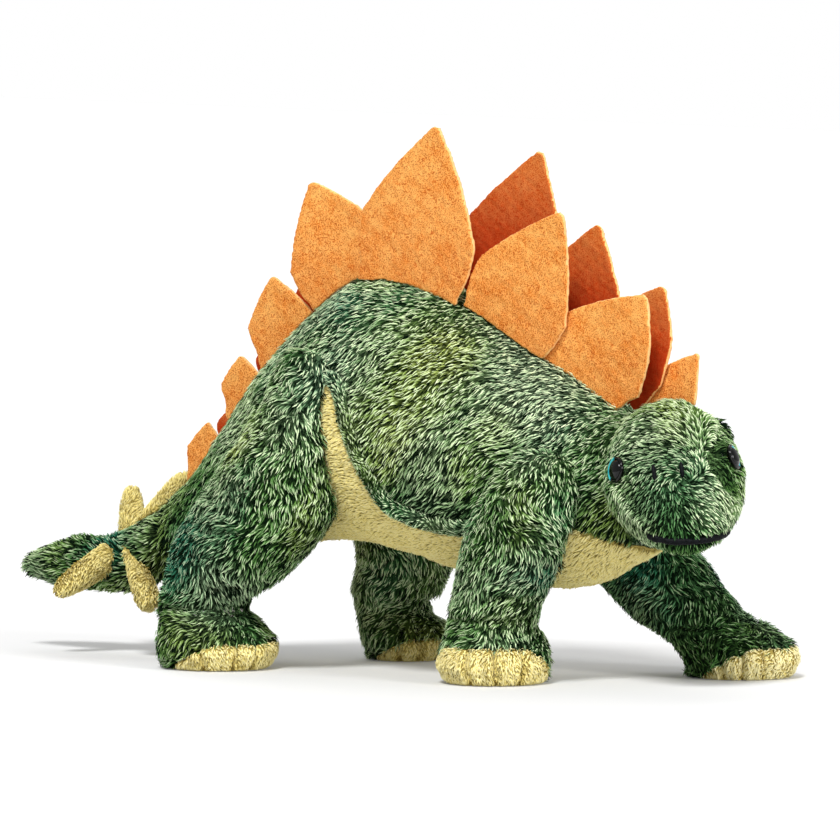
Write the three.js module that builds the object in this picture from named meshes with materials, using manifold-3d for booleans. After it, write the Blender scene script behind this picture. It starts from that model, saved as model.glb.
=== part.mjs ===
// A stuffed stegosaurus, built the way it is sewn: pile-fabric skins over separate fillings,
// felt back plates in two staggered rows, stuffed tail spikes, toe caps and safety eyes.
// Millimetres. X runs from tail to head, Y to the toy's left, Z up; the feet stand on Z = 0.

import * as THREE from 'three';
import { mergeVertices } from 'three/addons/utils/BufferGeometryUtils.js';
import Module from 'manifold-3d';

const wasm = await Module();
wasm.setup();

// Driving sizes of the whole toy
const bodyLength = 294; // tail root to neck, along the belly
const backHeight = 199; // highest point of the back above the floor
const bodyWidth = 114;
const tailLength = 95.5;
const headLength = 86; // back of the skull to the tip of the snout
const headHeight = 77;
const headWidth = 72;
const hindLegWidth = 84; // the thigh, front to back
const frontLegWidth = 66;
const limbDepth = 60; // across a limb, side to side
const spikeLength = 31;
const spikeWidth = 15;
const tallestPlate = 79; // height of the biggest felt plate above the back
const eyeDiameter = 13;

// Cloth, thread and fits
const skinWall = 4; // pile fabric with its seam allowance
const bellyInset = 1.5; // how far the belly panel lies inside the side panels' rolled rim
const seamGap = 0.3; // running gap between neighbouring pieces
const feltThickness = 2.4;
const stitchDiameter = 2.6;
const overrun = 12; // how far a cutter runs past what it cuts

// Head carriage: it looks over its right shoulder, with that side a little lower
const headTurn = THREE.MathUtils.degToRad(-50);
const headRoll = THREE.MathUtils.degToRad(6);
const headAlongShare = 1.073; // of the body length
const headSideShare = -0.105; // of the body width
const headRiseShare = 0.523; // of the back height

// Torso sections from tail root to neck: place along the body, underside and back as shares
// of the back height, half width as a share of half the body width.
const torsoShares = [
  [0.0, 0.221, 0.41, 0.3],
  [0.058, 0.231, 0.478, 0.42],
  [0.126, 0.241, 0.598, 0.57],
  [0.211, 0.277, 0.757, 0.735],
  [0.313, 0.305, 0.897, 0.885],
  [0.422, 0.312, 1.0, 0.965],
  [0.534, 0.281, 0.99, 1.0],
  [0.653, 0.246, 0.925, 1.0],
  [0.772, 0.221, 0.824, 0.93],
  [0.874, 0.231, 0.754, 0.807],
  [0.946, 0.281, 0.693, 0.667],
  [1.0, 0.322, 0.643, 0.526],
];
const ridgeTaperShare = 0.16; // how much narrower a torso section is near the back

// Seam between the green side panels and the yellow belly panel, as shares of the body
// length and the back height. It climbs behind the thigh and falls to the throat.
const bellySeamShares = [
  [0.02, 0.24],
  [0.12, 0.3],
  [0.27, 0.37],
  [0.38, 0.5],
  [0.432, 0.72],
  [0.458, 0.73],
  [0.485, 0.63],
  [0.527, 0.515],
  [0.568, 0.432],
  [0.66, 0.392],
  [0.77, 0.387],
  [0.87, 0.41],
  [0.94, 0.385],
  [1.02, 0.33],
];

// Tail sections from the tip to the root: place behind the root as a share of the tail
// length, underside and top as shares of the back height, half width of half the body width.
const tailShares = [
  [1.0, 0.198, 0.218, 0.035],
  [0.97, 0.184, 0.234, 0.09],
  [0.9, 0.168, 0.252, 0.165],
  [0.765, 0.156, 0.276, 0.235],
  [0.607, 0.152, 0.297, 0.262],
  [0.461, 0.153, 0.297, 0.247],
  [0.314, 0.151, 0.314, 0.262],
  [0.136, 0.175, 0.362, 0.286],
  [0.0, 0.221, 0.41, 0.3],
];

// Head sections from the back of the skull to the snout: place along the head, underside
// and top as shares of the head height, half width as a share of half the head width.
const headShares = [
  [-0.465, -0.12, 0.12, 0.34],
  [-0.42, -0.3, 0.31, 0.68],
  [-0.29, -0.41, 0.45, 0.91],
  [-0.1, -0.46, 0.505, 1.0],
  [0.08, -0.485, 0.47, 0.985],
  [0.23, -0.5, 0.335, 0.85],
  [0.35, -0.5, 0.19, 0.7],
  [0.45, -0.475, 0.055, 0.57],
  [0.51, -0.43, -0.06, 0.4],
  [0.535, -0.34, -0.15, 0.2],
];
const cheekTaperShare = 0.1; // how much narrower the top of the head is than its middle

// Leg slices from the sole up: height as a share of the leg's height, place along the body,
// place beside the spine as a share of the body width, half length as a share of the limb's
// width and half depth as a share of the limb depth.
const rightHindShares = [
  [0.0, 0.213, 0.447, 0.275, 0.375],
  [0.02, 0.213, 0.447, 0.33, 0.44],
  [0.052, 0.213, 0.447, 0.372, 0.492],
  [0.1, 0.211, 0.447, 0.375, 0.483],
  [0.142, 0.199, 0.447, 0.325, 0.425],
  [0.18, 0.184, 0.447, 0.265, 0.375],
  [0.222, 0.188, 0.447, 0.285, 0.39],
  [0.302, 0.234, 0.445, 0.42, 0.433],
  [0.364, 0.259, 0.44, 0.469, 0.442],
  [0.5, 0.314, 0.438, 0.51, 0.433],
  [0.636, 0.348, 0.425, 0.42, 0.4],
  [0.72, 0.366, 0.415, 0.357, 0.367],
  [0.846, 0.386, 0.405, 0.268, 0.3],
  [0.94, 0.391, 0.395, 0.226, 0.243],
  [1.0, 0.391, 0.38, 0.13, 0.16],
];
const leftHindShares = [
  [0.0, 0.367, 0.447, 0.21, 0.32],
  [0.02, 0.367, 0.447, 0.255, 0.375],
  [0.05, 0.367, 0.447, 0.285, 0.415],
  [0.093, 0.362, 0.447, 0.295, 0.42],
  [0.13, 0.339, 0.447, 0.235, 0.37],
  [0.165, 0.327, 0.447, 0.21, 0.34],
  [0.22, 0.341, 0.447, 0.285, 0.385],
  [0.31, 0.357, 0.44, 0.315, 0.41],
  [0.466, 0.363, 0.43, 0.38, 0.425],
  [0.62, 0.366, 0.42, 0.345, 0.383],
  [0.776, 0.38, 0.405, 0.262, 0.317],
  [0.9, 0.391, 0.385, 0.173, 0.233],
  [0.965, 0.395, 0.368, 0.083, 0.133],
];
const rightFrontShares = [
  [0.0, 0.778, 0.386, 0.33, 0.37],
  [0.027, 0.778, 0.386, 0.392, 0.435],
  [0.077, 0.778, 0.386, 0.435, 0.485],
  [0.145, 0.778, 0.386, 0.432, 0.47],
  [0.205, 0.778, 0.386, 0.383, 0.425],
  [0.25, 0.777, 0.386, 0.335, 0.383],
  [0.342, 0.784, 0.392, 0.36, 0.4],
  [0.495, 0.811, 0.4, 0.402, 0.425],
  [0.675, 0.838, 0.4, 0.439, 0.417],
  [0.83, 0.857, 0.386, 0.409, 0.367],
  [0.94, 0.864, 0.368, 0.303, 0.283],
  [1.0, 0.864, 0.35, 0.152, 0.15],
];
const leftFrontShares = [
  [0.0, 1.04, 0.509, 0.35, 0.375],
  [0.026, 1.04, 0.509, 0.415, 0.435],
  [0.077, 1.0407, 0.509, 0.455, 0.49],
  [0.145, 1.026, 0.509, 0.49, 0.475],
  [0.196, 0.988, 0.504, 0.52, 0.442],
  [0.24, 0.94, 0.5, 0.5, 0.417],
  [0.3, 0.918, 0.482, 0.518, 0.408],
  [0.398, 0.881, 0.465, 0.526, 0.408],
  [0.53, 0.848, 0.44, 0.48, 0.408],
  [0.684, 0.827, 0.412, 0.447, 0.392],
  [0.83, 0.816, 0.386, 0.386, 0.333],
  [0.94, 0.816, 0.368, 0.273, 0.25],
  [0.99, 0.816, 0.35, 0.136, 0.133],
];
const hindLegHeight = 0.81 * backHeight;
const frontLegHeight = 0.588 * backHeight;
const capStartShare = -0.4; // of the half foot, where the cap's upper edge leaves the sole
const capFullShare = 0.6; // of the half foot, where the edge reaches the cap's full height

// The four legs: side of the body, the way the toes point, the height of the toe cap, and the
// shares above
const legs = [
  {
    name: 'right_hind', side: -1, toes: -8, cap: 13, height: hindLegHeight,
    width: hindLegWidth, shares: rightHindShares,
  },
  {
    name: 'left_hind', side: 1, toes: -5, cap: 11, height: hindLegHeight,
    width: hindLegWidth, shares: leftHindShares,
  },
  {
    name: 'right_front', side: -1, toes: -68, cap: 18, height: frontLegHeight,
    width: frontLegWidth, shares: rightFrontShares,
  },
  {
    name: 'left_front', side: 1, toes: 5, cap: 15, height: frontLegHeight,
    width: frontLegWidth, shares: leftFrontShares,
  },
];

// Felt plates: place along the body, height and width as shares of the tallest plate, the
// lean towards the head in degrees, and the layer, counted outwards, that lets neighbours in
// a row overlap. The two rows are staggered, and draw together where the back is low.
const rowOffset = 10; // how far a row stands beside the spine seam at the top of the back
const rowLean = THREE.MathUtils.degToRad(3.5); // outwards
const rightPlateShares = [
  [0.07, 0.29, 0.31, 8, 0],
  [0.166, 0.28, 0.35, -2, 1],
  [0.252, 0.44, 0.55, -10, 0],
  [0.397, 0.69, 0.8, -24, 1],
  [0.529, 1.02, 0.89, 15, 2],
  [0.714, 0.91, 0.77, 33, 1],
  [0.892, 0.77, 0.82, 40, 0],
];
const leftPlateShares = [
  [0.112, 0.22, 0.3, 4, 0],
  [0.2, 0.29, 0.4, -6, 1],
  [0.31, 0.44, 0.56, -10, 0],
  [0.45, 0.66, 0.68, 3, 1],
  [0.65, 1.03, 0.89, 17, 0],
  [0.787, 0.86, 0.8, 17, 1],
  [0.899, 0.755, 0.74, 29, 0],
  [0.987, 0.56, 0.48, 36, 1],
];

// Tail spikes: side of the tail, place behind its root, where the foot sits in degrees above
// the side, the way each one points (X, Y, Z), and how full it is at its foot and its tip as
// shares of the spike's width
const spikes = [
  {
    name: 'right_rear_spike', side: -1, alongShare: 0.372, seat: 8, way: [-17, -17, -16],
    footShare: 1.04, tipShare: 0.66,
  },
  {
    name: 'right_front_spike', side: -1, alongShare: 0.185, seat: -8, way: [18, -7, -26],
    footShare: 0.56, tipShare: 1,
  },
  {
    name: 'left_rear_spike', side: 1, alongShare: 0.36, seat: 55, way: [-11, 15, 24],
    footShare: 0.96, tipShare: 0.64,
  },
  {
    name: 'left_front_spike', side: 1, alongShare: 0.2, seat: 72, way: [14, 13, 24],
    footShare: 0.96, tipShare: 0.8,
  },
];

// Colours and finishes
const greenPile = { color: 0x4d7a4c, roughness: 0.95, metalness: 0 };
const yellowPile = { color: 0xe3d27e, roughness: 0.95, metalness: 0 };
const orangeFelt = { color: 0xec8436, roughness: 0.95, metalness: 0 };
const fibreFill = { color: 0xf4f2ea, roughness: 1, metalness: 0 };
const glossEye = { color: 0x0b0d0e, roughness: 0.12, metalness: 0 };
const washerPlastic = { color: 0xe9e9e4, roughness: 0.55, metalness: 0 };
const blackThread = { color: 0x15171a, roughness: 0.7, metalness: 0 };

// Turns a closed geometry into a solid that can be joined and cut.
function toSolid(geometry) {
  const bare = geometry.clone();
  bare.deleteAttribute('normal');
  bare.deleteAttribute('uv');
  const merged = mergeVertices(bare);
  return new wasm.Manifold(new wasm.Mesh({
    numProp: 3,
    vertProperties: merged.attributes.position.array,
    triVerts: new Uint32Array(merged.index.array),
  }));
}

// Turns a solid back into a geometry with flat shaded faces.
function toGeometry(solid) {
  const mesh = solid.getMesh();
  const geometry = new THREE.BufferGeometry();
  geometry.setAttribute('position', new THREE.BufferAttribute(mesh.vertProperties, 3));
  geometry.setIndex(new THREE.BufferAttribute(mesh.triVerts, 1));
  geometry.computeVertexNormals();
  return geometry;
}

function makePiece(name, solid, finish) {
  const mesh = new THREE.Mesh(toGeometry(solid), new THREE.MeshStandardMaterial(finish));
  mesh.name = name;
  return mesh;
}

// One closed ring of points round a centre: across and up are the section's two directions,
// and the taper draws the upper part in.
function sectionRing(centre, across, up, halfAcross, halfUp, sides, taperShare) {
  return Array.from({ length: sides }, (_, k) => {
    const angle = (2 * Math.PI * k) / sides;
    const drawnIn = 1 - taperShare * Math.sin(angle);
    return centre.clone()
      .addScaledVector(across, halfAcross * Math.cos(angle) * drawnIn)
      .addScaledVector(up, halfUp * Math.sin(angle));
  });
}

// Skins a row of rings into one closed form with a flat end at each side. Each ring turns
// from its first direction to its second, right-handed about the way the rings follow.
function skinRings(rings) {
  const sides = rings[0].length;
  const points = rings.flat();
  const faces = [];
  for (let i = 0; i + 1 < rings.length; i += 1) {
    for (let j = 0; j < sides; j += 1) {
      const here = i * sides + j;
      const next = i * sides + ((j + 1) % sides);
      faces.push(here, next, next + sides, here, next + sides, here + sides);
    }
  }
  const last = (rings.length - 1) * sides;
  for (let j = 1; j + 1 < sides; j += 1) {
    faces.push(0, j + 1, j, last, last + j, last + j + 1);
  }
  const geometry = new THREE.BufferGeometry().setFromPoints(points);
  geometry.setIndex(faces);
  return toSolid(geometry);
}

// Adds smooth in-between sections to a table, so that a form swells and tapers evenly.
function smoothTable(table, stepsPerSpan) {
  const spans = table.length - 1;
  const rows = [];
  for (let s = 0; s <= spans * stepsPerSpan; s += 1) {
    const span = Math.min(Math.floor(s / stepsPerSpan), spans - 1);
    const t = s / stepsPerSpan - span;
    const before = table[Math.max(span - 1, 0)];
    const from = table[span];
    const to = table[span + 1];
    const after = table[Math.min(span + 2, spans)];
    rows.push(from.map((value, c) => {
      const startSlope = (to[c] - before[c]) / 2;
      const endSlope = (after[c] - value) / 2;
      const rise = to[c] - value;
      return value + t * (startSlope
        + t * (3 * rise - 2 * startSlope - endSlope
        + t * (startSlope + endSlope - 2 * rise)));
    }));
  }
  return rows;
}

const axisX = new THREE.Vector3(1, 0, 0);
const axisY = new THREE.Vector3(0, 1, 0);
const axisZ = new THREE.Vector3(0, 0, 1);

// Torso
const torsoTable = torsoShares.map(([along, low, high, half]) => [
  along * bodyLength, low * backHeight, high * backHeight, half * bodyWidth / 2,
]);

// Upright sections square to the body's length, drawn in by an inset.
function uprightRings(rows, inset, sides, taperShare) {
  return rows.map(([x, low, high, half]) => sectionRing(
    new THREE.Vector3(x, 0, (low + high) / 2), axisY, axisZ,
    half - inset, (high - low) / 2 - inset, sides, taperShare,
  ));
}

// A copy of a ring moved along the body.
function movedRing(ring, distance) {
  return ring.map((point) => point.clone().addScaledVector(axisX, distance));
}

// The torso's closed form, drawn in by an inset. Run-out lengthens both ends straight on.
function torsoForm(inset, sides, stepsPerSpan, runOut) {
  const rows = smoothTable(torsoTable, stepsPerSpan);
  const rings = uprightRings(rows, inset, sides, ridgeTaperShare);
  if (runOut > 0) {
    rings.unshift(movedRing(rings[0], -runOut));
    rings.push(movedRing(rings.at(-1), runOut));
  }
  return skinRings(rings);
}

// Height of the back beside the spine seam, read off the torso's own sections.
function backAt(x, y) {
  const next = Math.max(1, torsoTable.findIndex((row) => row[0] >= x));
  const a = torsoTable[next - 1];
  const b = torsoTable[next];
  const t = (x - a[0]) / (b[0] - a[0]);
  const [, low, high, half] = a.map((value, c) => THREE.MathUtils.lerp(value, b[c], t));
  const sideShare = Math.min(1, Math.abs(y) / (half * (1 - ridgeTaperShare)));
  return (low + high) / 2 + ((high - low) / 2) * Math.sqrt(1 - sideShare * sideShare);
}

// The space under the belly seam, as a block across the body; grow lifts the seam.
function bellyZone(grow) {
  const seam = new THREE.SplineCurve(bellySeamShares.map(
    ([along, high]) => new THREE.Vector2(along * bodyLength, high * backHeight),
  ));
  const outline = new THREE.Shape();
  const steps = 4 * bellySeamShares.length;
  const start = bellySeamShares[0][0] * bodyLength - grow;
  outline.moveTo(start, -overrun);
  for (let s = 0; s <= steps; s += 1) {
    const point = seam.getPoint(s / steps);
    const way = seam.getTangent(s / steps);
    outline.lineTo(Math.max(start, point.x - way.y * grow), point.y + way.x * grow);
  }
  outline.lineTo(bodyLength + 2 * overrun, bellySeamShares.at(-1)[1] * backHeight + grow);
  outline.lineTo(bodyLength + 2 * overrun, -overrun);
  const block = new THREE.ExtrudeGeometry(outline, {
    depth: bodyWidth + 2 * overrun, bevelEnabled: false,
  });
  block.rotateX(Math.PI / 2);
  block.translate(0, bodyWidth / 2 + overrun, 0);
  return toSolid(block);
}

const torsoSides = 24;
const torsoOuter = torsoForm(0, torsoSides, 2, 0);
const torsoKeepOut = torsoForm(-seamGap, torsoSides, 2, seamGap);
const torsoCavity = torsoForm(skinWall, 16, 1, overrun);

function makeTorso() {
  const sidePanels = torsoOuter.subtract(torsoCavity).subtract(bellyZone(seamGap));
  const belly = torsoForm(bellyInset, torsoSides, 2, 0).subtract(torsoCavity).intersect(bellyZone(0));
  const filling = torsoForm(skinWall + seamGap, 16, 1, 0);
  return [
    makePiece('torso_skin', sidePanels, greenPile),
    makePiece('belly_panel', belly, yellowPile),
    makePiece('torso_filling', filling, fibreFill),
  ];
}

// Head form, which the last plates also keep clear of
const headMiddle = new THREE.Vector3(
  headAlongShare * bodyLength, headSideShare * bodyWidth, headRiseShare * backHeight,
);
const headForward = axisX.clone().applyAxisAngle(axisZ, headTurn);
const headLeft = axisY.clone().applyAxisAngle(axisZ, headTurn)
  .applyAxisAngle(headForward, headRoll);
const headUp = axisZ.clone().applyAxisAngle(headForward, headRoll);
const headTable = headShares.map(([along, low, high, half]) => [
  along * headLength, low * headHeight, high * headHeight, half * headWidth / 2,
]);

// A point of the head, given forwards, to its left and up from its middle.
function headPoint(forward, left, up) {
  return headMiddle.clone()
    .addScaledVector(headForward, forward)
    .addScaledVector(headLeft, left)
    .addScaledVector(headUp, up);
}

// The head's closed form; skipped drops the thin end sections that an inset empties.
function headForm(inset, sides, stepsPerSpan, skipped) {
  const table = skipped ? headTable.slice(skipped, -skipped) : headTable;
  const rings = smoothTable(table, stepsPerSpan).map(([along, low, high, half]) => sectionRing(
    headPoint(along, 0, (low + high) / 2), headLeft, headUp,
    half - inset, (high - low) / 2 - inset, sides, cheekTaperShare,
  ));
  return skinRings(rings);
}

const headOuter = headForm(0, 20, 2, 0);
const headKeepOut = headForm(-seamGap, 20, 2, 0);

// Felt plates
// A kite with full lower sides and a sharp tip; its root runs down under the back.
// The shares are of the plate's width, and those that rise are of its height.
function plateOutline(height, width) {
  const footShare = 0.43;
  const rootRiseShare = -0.45;
  const hipRiseShare = 0.12;
  const broadShare = 0.5;
  const broadRiseShare = 0.34;
  const fullShare = 0.31;
  const fullRiseShare = 0.7;
  const tipShare = 0.025;
  const root = rootRiseShare * height;
  const kite = new THREE.Shape();
  kite.moveTo(-footShare * width, root);
  kite.lineTo(footShare * width, root);
  kite.lineTo(footShare * width, 0);
  kite.quadraticCurveTo(
    broadShare * width, hipRiseShare * height, broadShare * width, broadRiseShare * height,
  );
  kite.quadraticCurveTo(fullShare * width, fullRiseShare * height, tipShare * width, height);
  kite.lineTo(-tipShare * width, height);
  kite.quadraticCurveTo(
    -fullShare * width, fullRiseShare * height, -broadShare * width, broadRiseShare * height,
  );
  kite.quadraticCurveTo(
    -broadShare * width, hipRiseShare * height, -footShare * width, 0,
  );
  return kite;
}

function makePlate(name, side, [alongShare, heightShare, widthShare, lean, layer]) {
  const outline = plateOutline(heightShare * tallestPlate, widthShare * tallestPlate);
  const sheet = new THREE.ExtrudeGeometry(outline, {
    depth: feltThickness, bevelEnabled: false, curveSegments: 5,
  });
  const x = alongShare * bodyLength;
  const z = backAt(x, rowOffset);
  const beside = rowOffset + layer * (feltThickness + seamGap)
    + (z - backHeight) * Math.tan(rowLean);
  sheet.translate(0, 0, -feltThickness / 2);
  sheet.rotateX(Math.PI / 2);
  sheet.rotateY(THREE.MathUtils.degToRad(lean));
  sheet.rotateX(-side * rowLean);
  sheet.translate(x, side * beside, z);
  return makePiece(name, toSolid(sheet).subtract(torsoKeepOut.add(headKeepOut)), orangeFelt);
}

function makePlates() {
  const right = rightPlateShares.map((row, i) => makePlate(`right_plate_${i + 1}`, -1, row));
  const left = leftPlateShares.map((row, i) => makePlate(`left_plate_${i + 1}`, 1, row));
  return [...right, ...left];
}

// Tail
const tailTable = tailShares.map(([along, low, high, half]) => [
  -along * tailLength - seamGap, low * backHeight, high * backHeight, half * bodyWidth / 2,
]);

// The tail's closed form; skipped drops the thin sections at the tip that an inset empties,
// and run-out lengthens the root straight on.
function tailForm(inset, sides, stepsPerSpan, skipped, runOut) {
  const rows = smoothTable(tailTable, stepsPerSpan).slice(skipped);
  const rings = uprightRings(rows, inset, sides, 0);
  if (runOut > 0) rings.push(movedRing(rings.at(-1), runOut));
  return skinRings(rings);
}

// Centre height and half width of the tail at a place behind its root.
function tailAt(x) {
  const next = Math.max(1, tailTable.findIndex((row) => row[0] >= x));
  const a = tailTable[next - 1];
  const b = tailTable[next];
  const t = (x - a[0]) / (b[0] - a[0]);
  const [, low, high, half] = a.map((value, c) => THREE.MathUtils.lerp(value, b[c], t));
  return { middle: (low + high) / 2, halfHeight: (high - low) / 2, halfWidth: half };
}

// Spike profile from the foot to the tip: roundness, and height as a share of the spike's
const spikeProfileShares = [
  [0, -0.2],
  [0.85, -0.2],
  [0.97, 0.1],
  [1, 0.5],
  [0.93, 0.78],
  [0.6, 0.95],
  [0, 1],
];
const spikeSeatShare = 0.9; // where the foot's middle lies, from the tail's middle outwards

// A stuffed finger of yellow pile: round, tapered one way or the other, sewn on at its foot.
function makeSpike({ name, side, alongShare, seat, way, footShare, tipShare }, tailKeepOut) {
  const x = -alongShare * tailLength;
  const { middle, halfHeight, halfWidth } = tailAt(x);
  const pointing = new THREE.Vector3(...way).normalize();
  const seatAngle = THREE.MathUtils.degToRad(seat);
  const foot = new THREE.Vector3(
    x,
    side * halfWidth * spikeSeatShare * Math.cos(seatAngle),
    middle + halfHeight * spikeSeatShare * Math.sin(seatAngle),
  );
  const profile = new THREE.CatmullRomCurve3(spikeProfileShares.map(([round, high]) => {
    const full = THREE.MathUtils.lerp(footShare, tipShare, Math.max(high, 0));
    return new THREE.Vector3(round * full * spikeWidth / 2, high * spikeLength, 0);
  }), false, 'centripetal');
  const outline = profile.getPoints(9).map((p) => new THREE.Vector2(Math.max(p.x, 0), p.y));
  outline[0].x = 0;
  outline.at(-1).x = 0;
  const finger = new THREE.LatheGeometry(outline, 10);
  finger.applyQuaternion(new THREE.Quaternion().setFromUnitVectors(axisY, pointing));
  finger.translate(foot.x, foot.y, foot.z);
  return makePiece(name, toSolid(finger).subtract(tailKeepOut), yellowPile);
}

function makeTail() {
  const skin = tailForm(0, 18, 2, 0, 0)
    .subtract(tailForm(skinWall, 12, 1, 2, overrun));
  const filling = tailForm(skinWall + seamGap, 12, 1, 2, 0);
  const keepOut = tailForm(-seamGap, 18, 2, 0, 0);
  return [
    makePiece('tail_skin', skin, greenPile),
    makePiece('tail_filling', filling, fibreFill),
    ...spikes.map((spike) => makeSpike(spike, keepOut)),
  ];
}

// Head pieces
// Where a ray from inside a form meets its surface.
function surfaceHit(form, from, way) {
  const material = new THREE.MeshBasicMaterial({ side: THREE.DoubleSide });
  const ray = new THREE.Raycaster(from, way.clone().normalize());
  return ray.intersectObject(new THREE.Mesh(toGeometry(form), material))[0].point;
}

// A round plug along an axis, for pockets and holes.
function plug(from, way, start, end, radius) {
  const cylinder = new THREE.CylinderGeometry(radius, radius, end - start, 16);
  cylinder.translate(0, (start + end) / 2, 0);
  cylinder.applyQuaternion(new THREE.Quaternion().setFromUnitVectors(axisY, way));
  cylinder.translate(from.x, from.y, from.z);
  return toSolid(cylinder);
}

// Turns a profile of radius and height into a solid on an axis.
function turned(profile, from, way) {
  const outline = profile.map(([radius, height]) => new THREE.Vector2(radius, height));
  const lathe = new THREE.LatheGeometry(outline, 16);
  lathe.applyQuaternion(new THREE.Quaternion().setFromUnitVectors(axisY, way));
  lathe.translate(from.x, from.y, from.z);
  return toSolid(lathe);
}

// Safety eye: a domed button with a shank through the skin, locked by a washer behind it.
const eyeForwardShare = 0.09; // of the head length, where the eyes' axes cross
const eyeRiseShare = 0.005; // of the head height, likewise
const eyeAim = THREE.MathUtils.degToRad(77); // from straight ahead
const eyeTilt = THREE.MathUtils.degToRad(14); // upwards
const eyeRadius = eyeDiameter / 2;
const domeHeight = 4.6;
const eyeSink = 2.2; // the button's back beds this far into the pile
const shankRadius = 2;
const washerRadius = 5.5;
const washerThickness = 1.4;
const shankTail = 1.2; // how far the shank stands out behind its washer

function makeEye(side, cavity) {
  const from = headPoint(eyeForwardShare * headLength, 0, eyeRiseShare * headHeight);
  const way = headForward.clone().applyAxisAngle(headUp, side * eyeAim)
    .multiplyScalar(Math.cos(eyeTilt)).addScaledVector(headUp, Math.sin(eyeTilt));
  const outside = surfaceHit(headOuter, from, way).distanceTo(from);
  const inside = surfaceHit(cavity, from, way).distanceTo(from);
  const back = outside - eyeSink;
  const bulge = washerRadius * washerRadius / headWidth;
  const washerFace = inside - seamGap - bulge;
  const washerBack = washerFace - washerThickness;
  const shankEnd = washerBack - shankTail;
  const dome = Array.from({ length: 6 }, (_, k) => {
    const angle = (k / 5) * (Math.PI / 2);
    return [eyeRadius * Math.cos(angle), back + domeHeight * Math.sin(angle)];
  });
  dome.at(-1)[0] = 0;
  const button = turned([
    [0, shankEnd], [shankRadius, shankEnd], [shankRadius, back], ...dome,
  ], from, way);
  const washer = turned([
    [shankRadius + seamGap, washerBack], [washerRadius, washerBack],
    [washerRadius, washerFace], [shankRadius + seamGap, washerFace],
    [shankRadius + seamGap, washerBack],
  ], from, way);
  return {
    button,
    washer,
    skinCut: plug(from, way, back - seamGap, outside + overrun, eyeRadius + seamGap)
      .add(plug(from, way, shankEnd, outside, shankRadius + seamGap))
      .add(plug(from, way, washerBack, washerFace + seamGap, washerRadius + seamGap)),
    fillingCut: plug(from, way, washerBack - seamGap, outside, washerRadius + seamGap)
      .add(plug(from, way, shankEnd - seamGap, outside, shankRadius + seamGap)),
  };
}

// Mouth: one thick satin stitch round the muzzle, a little higher at its middle.
const muzzleForwardShare = 0.2; // of the head length, where the muzzle's rays start
const mouthLevelShare = -0.366; // of the head height
const mouthWaveShare = 0.006; // of the head height
const mouthTurn = THREE.MathUtils.degToRad(9); // sewn a little to the left

function makeMouth() {
  const cornerAngle = THREE.MathUtils.degToRad(54);
  const forward = muzzleForwardShare * headLength;
  const level = mouthLevelShare * headHeight;
  const wave = mouthWaveShare * headHeight;
  const count = 12;
  const points = Array.from({ length: count + 1 }, (_, k) => {
    const share = (2 * k) / count - 1;
    const up = level + wave * Math.cos(2 * Math.PI * share) * (1 - share * share / 2);
    const way = headForward.clone().applyAxisAngle(headUp, mouthTurn + share * cornerAngle);
    return surfaceHit(headOuter, headPoint(forward, 0, up), way);
  });
  const thread = new THREE.Shape().absarc(0, 0, stitchDiameter / 2, 0, 2 * Math.PI);
  const tube = new THREE.ExtrudeGeometry(thread, {
    steps: count + 4, curveSegments: 3, bevelEnabled: false,
    extrudePath: new THREE.CatmullRomCurve3(points),
  });
  return toSolid(tube).subtract(headKeepOut);
}

// Nostril: a short upright satin stitch beside the snout's middle.
const nostrilLengthShare = 0.115; // of the head height
const nostrilLevelShare = 0.06; // of the head height
const nostrilSpread = THREE.MathUtils.degToRad(19);
const nostrilTurn = THREE.MathUtils.degToRad(-11); // sewn a little to the right

function makeNostril(side) {
  const length = nostrilLengthShare * headHeight;
  const from = headPoint(
    muzzleForwardShare * headLength, 0, nostrilLevelShare * headHeight,
  );
  const way = headForward.clone().applyAxisAngle(headUp, nostrilTurn + side * nostrilSpread);
  const place = surfaceHit(headOuter, from, way);
  const bead = new THREE.SphereGeometry(1, 8, 6);
  bead.scale(stitchDiameter / 2, stitchDiameter / 2, length / 2);
  bead.translate(place.x, place.y, place.z);
  return toSolid(bead).subtract(headKeepOut);
}

function makeHead() {
  const cavity = headForm(skinWall, 14, 1, 1);
  const rightEye = makeEye(-1, cavity);
  const leftEye = makeEye(1, cavity);
  const skin = headOuter.subtract(cavity).subtract(torsoKeepOut)
    .subtract(rightEye.skinCut).subtract(leftEye.skinCut);
  const filling = headForm(skinWall + seamGap, 14, 1, 1).subtract(torsoKeepOut)
    .subtract(rightEye.fillingCut).subtract(leftEye.fillingCut);
  return [
    makePiece('head_skin', skin, greenPile),
    makePiece('head_filling', filling, fibreFill),
    makePiece('right_eye', rightEye.button, glossEye),
    makePiece('left_eye', leftEye.button, glossEye),
    makePiece('right_eye_washer', rightEye.washer, washerPlastic),
    makePiece('left_eye_washer', leftEye.washer, washerPlastic),
    makePiece('mouth_stitch', makeMouth(), blackThread),
    makePiece('right_nostril_stitch', makeNostril(-1), blackThread),
    makePiece('left_nostril_stitch', makeNostril(1), blackThread),
  ];
}

// Legs
// A leg's closed form from sole to top, drawn in by an inset. The sole stays flat on the
// floor, or a wall above it inside.
function legForm({ side, height, width, shares }, inset, sides, stepsPerSpan) {
  const thinnest = 2.5; // half depth of the thinnest slice kept, in insets
  const rows = smoothTable(shares, stepsPerSpan);
  const kept = rows.filter((row) => inset <= 0
    || (row[0] * height > inset && row[4] * limbDepth > thinnest * inset));
  if (inset > 0) {
    const sole = [...kept[0]];
    sole[0] = inset / height;
    kept.unshift(sole);
  }
  const rings = kept.map(([rise, along, beside, halfLong, halfDeep]) => sectionRing(
    new THREE.Vector3(along * bodyLength, side * beside * bodyWidth, rise * height),
    axisX, axisY, halfLong * width - inset, halfDeep * limbDepth - inset, sides, 0,
  ));
  return skinRings(rings);
}

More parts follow.
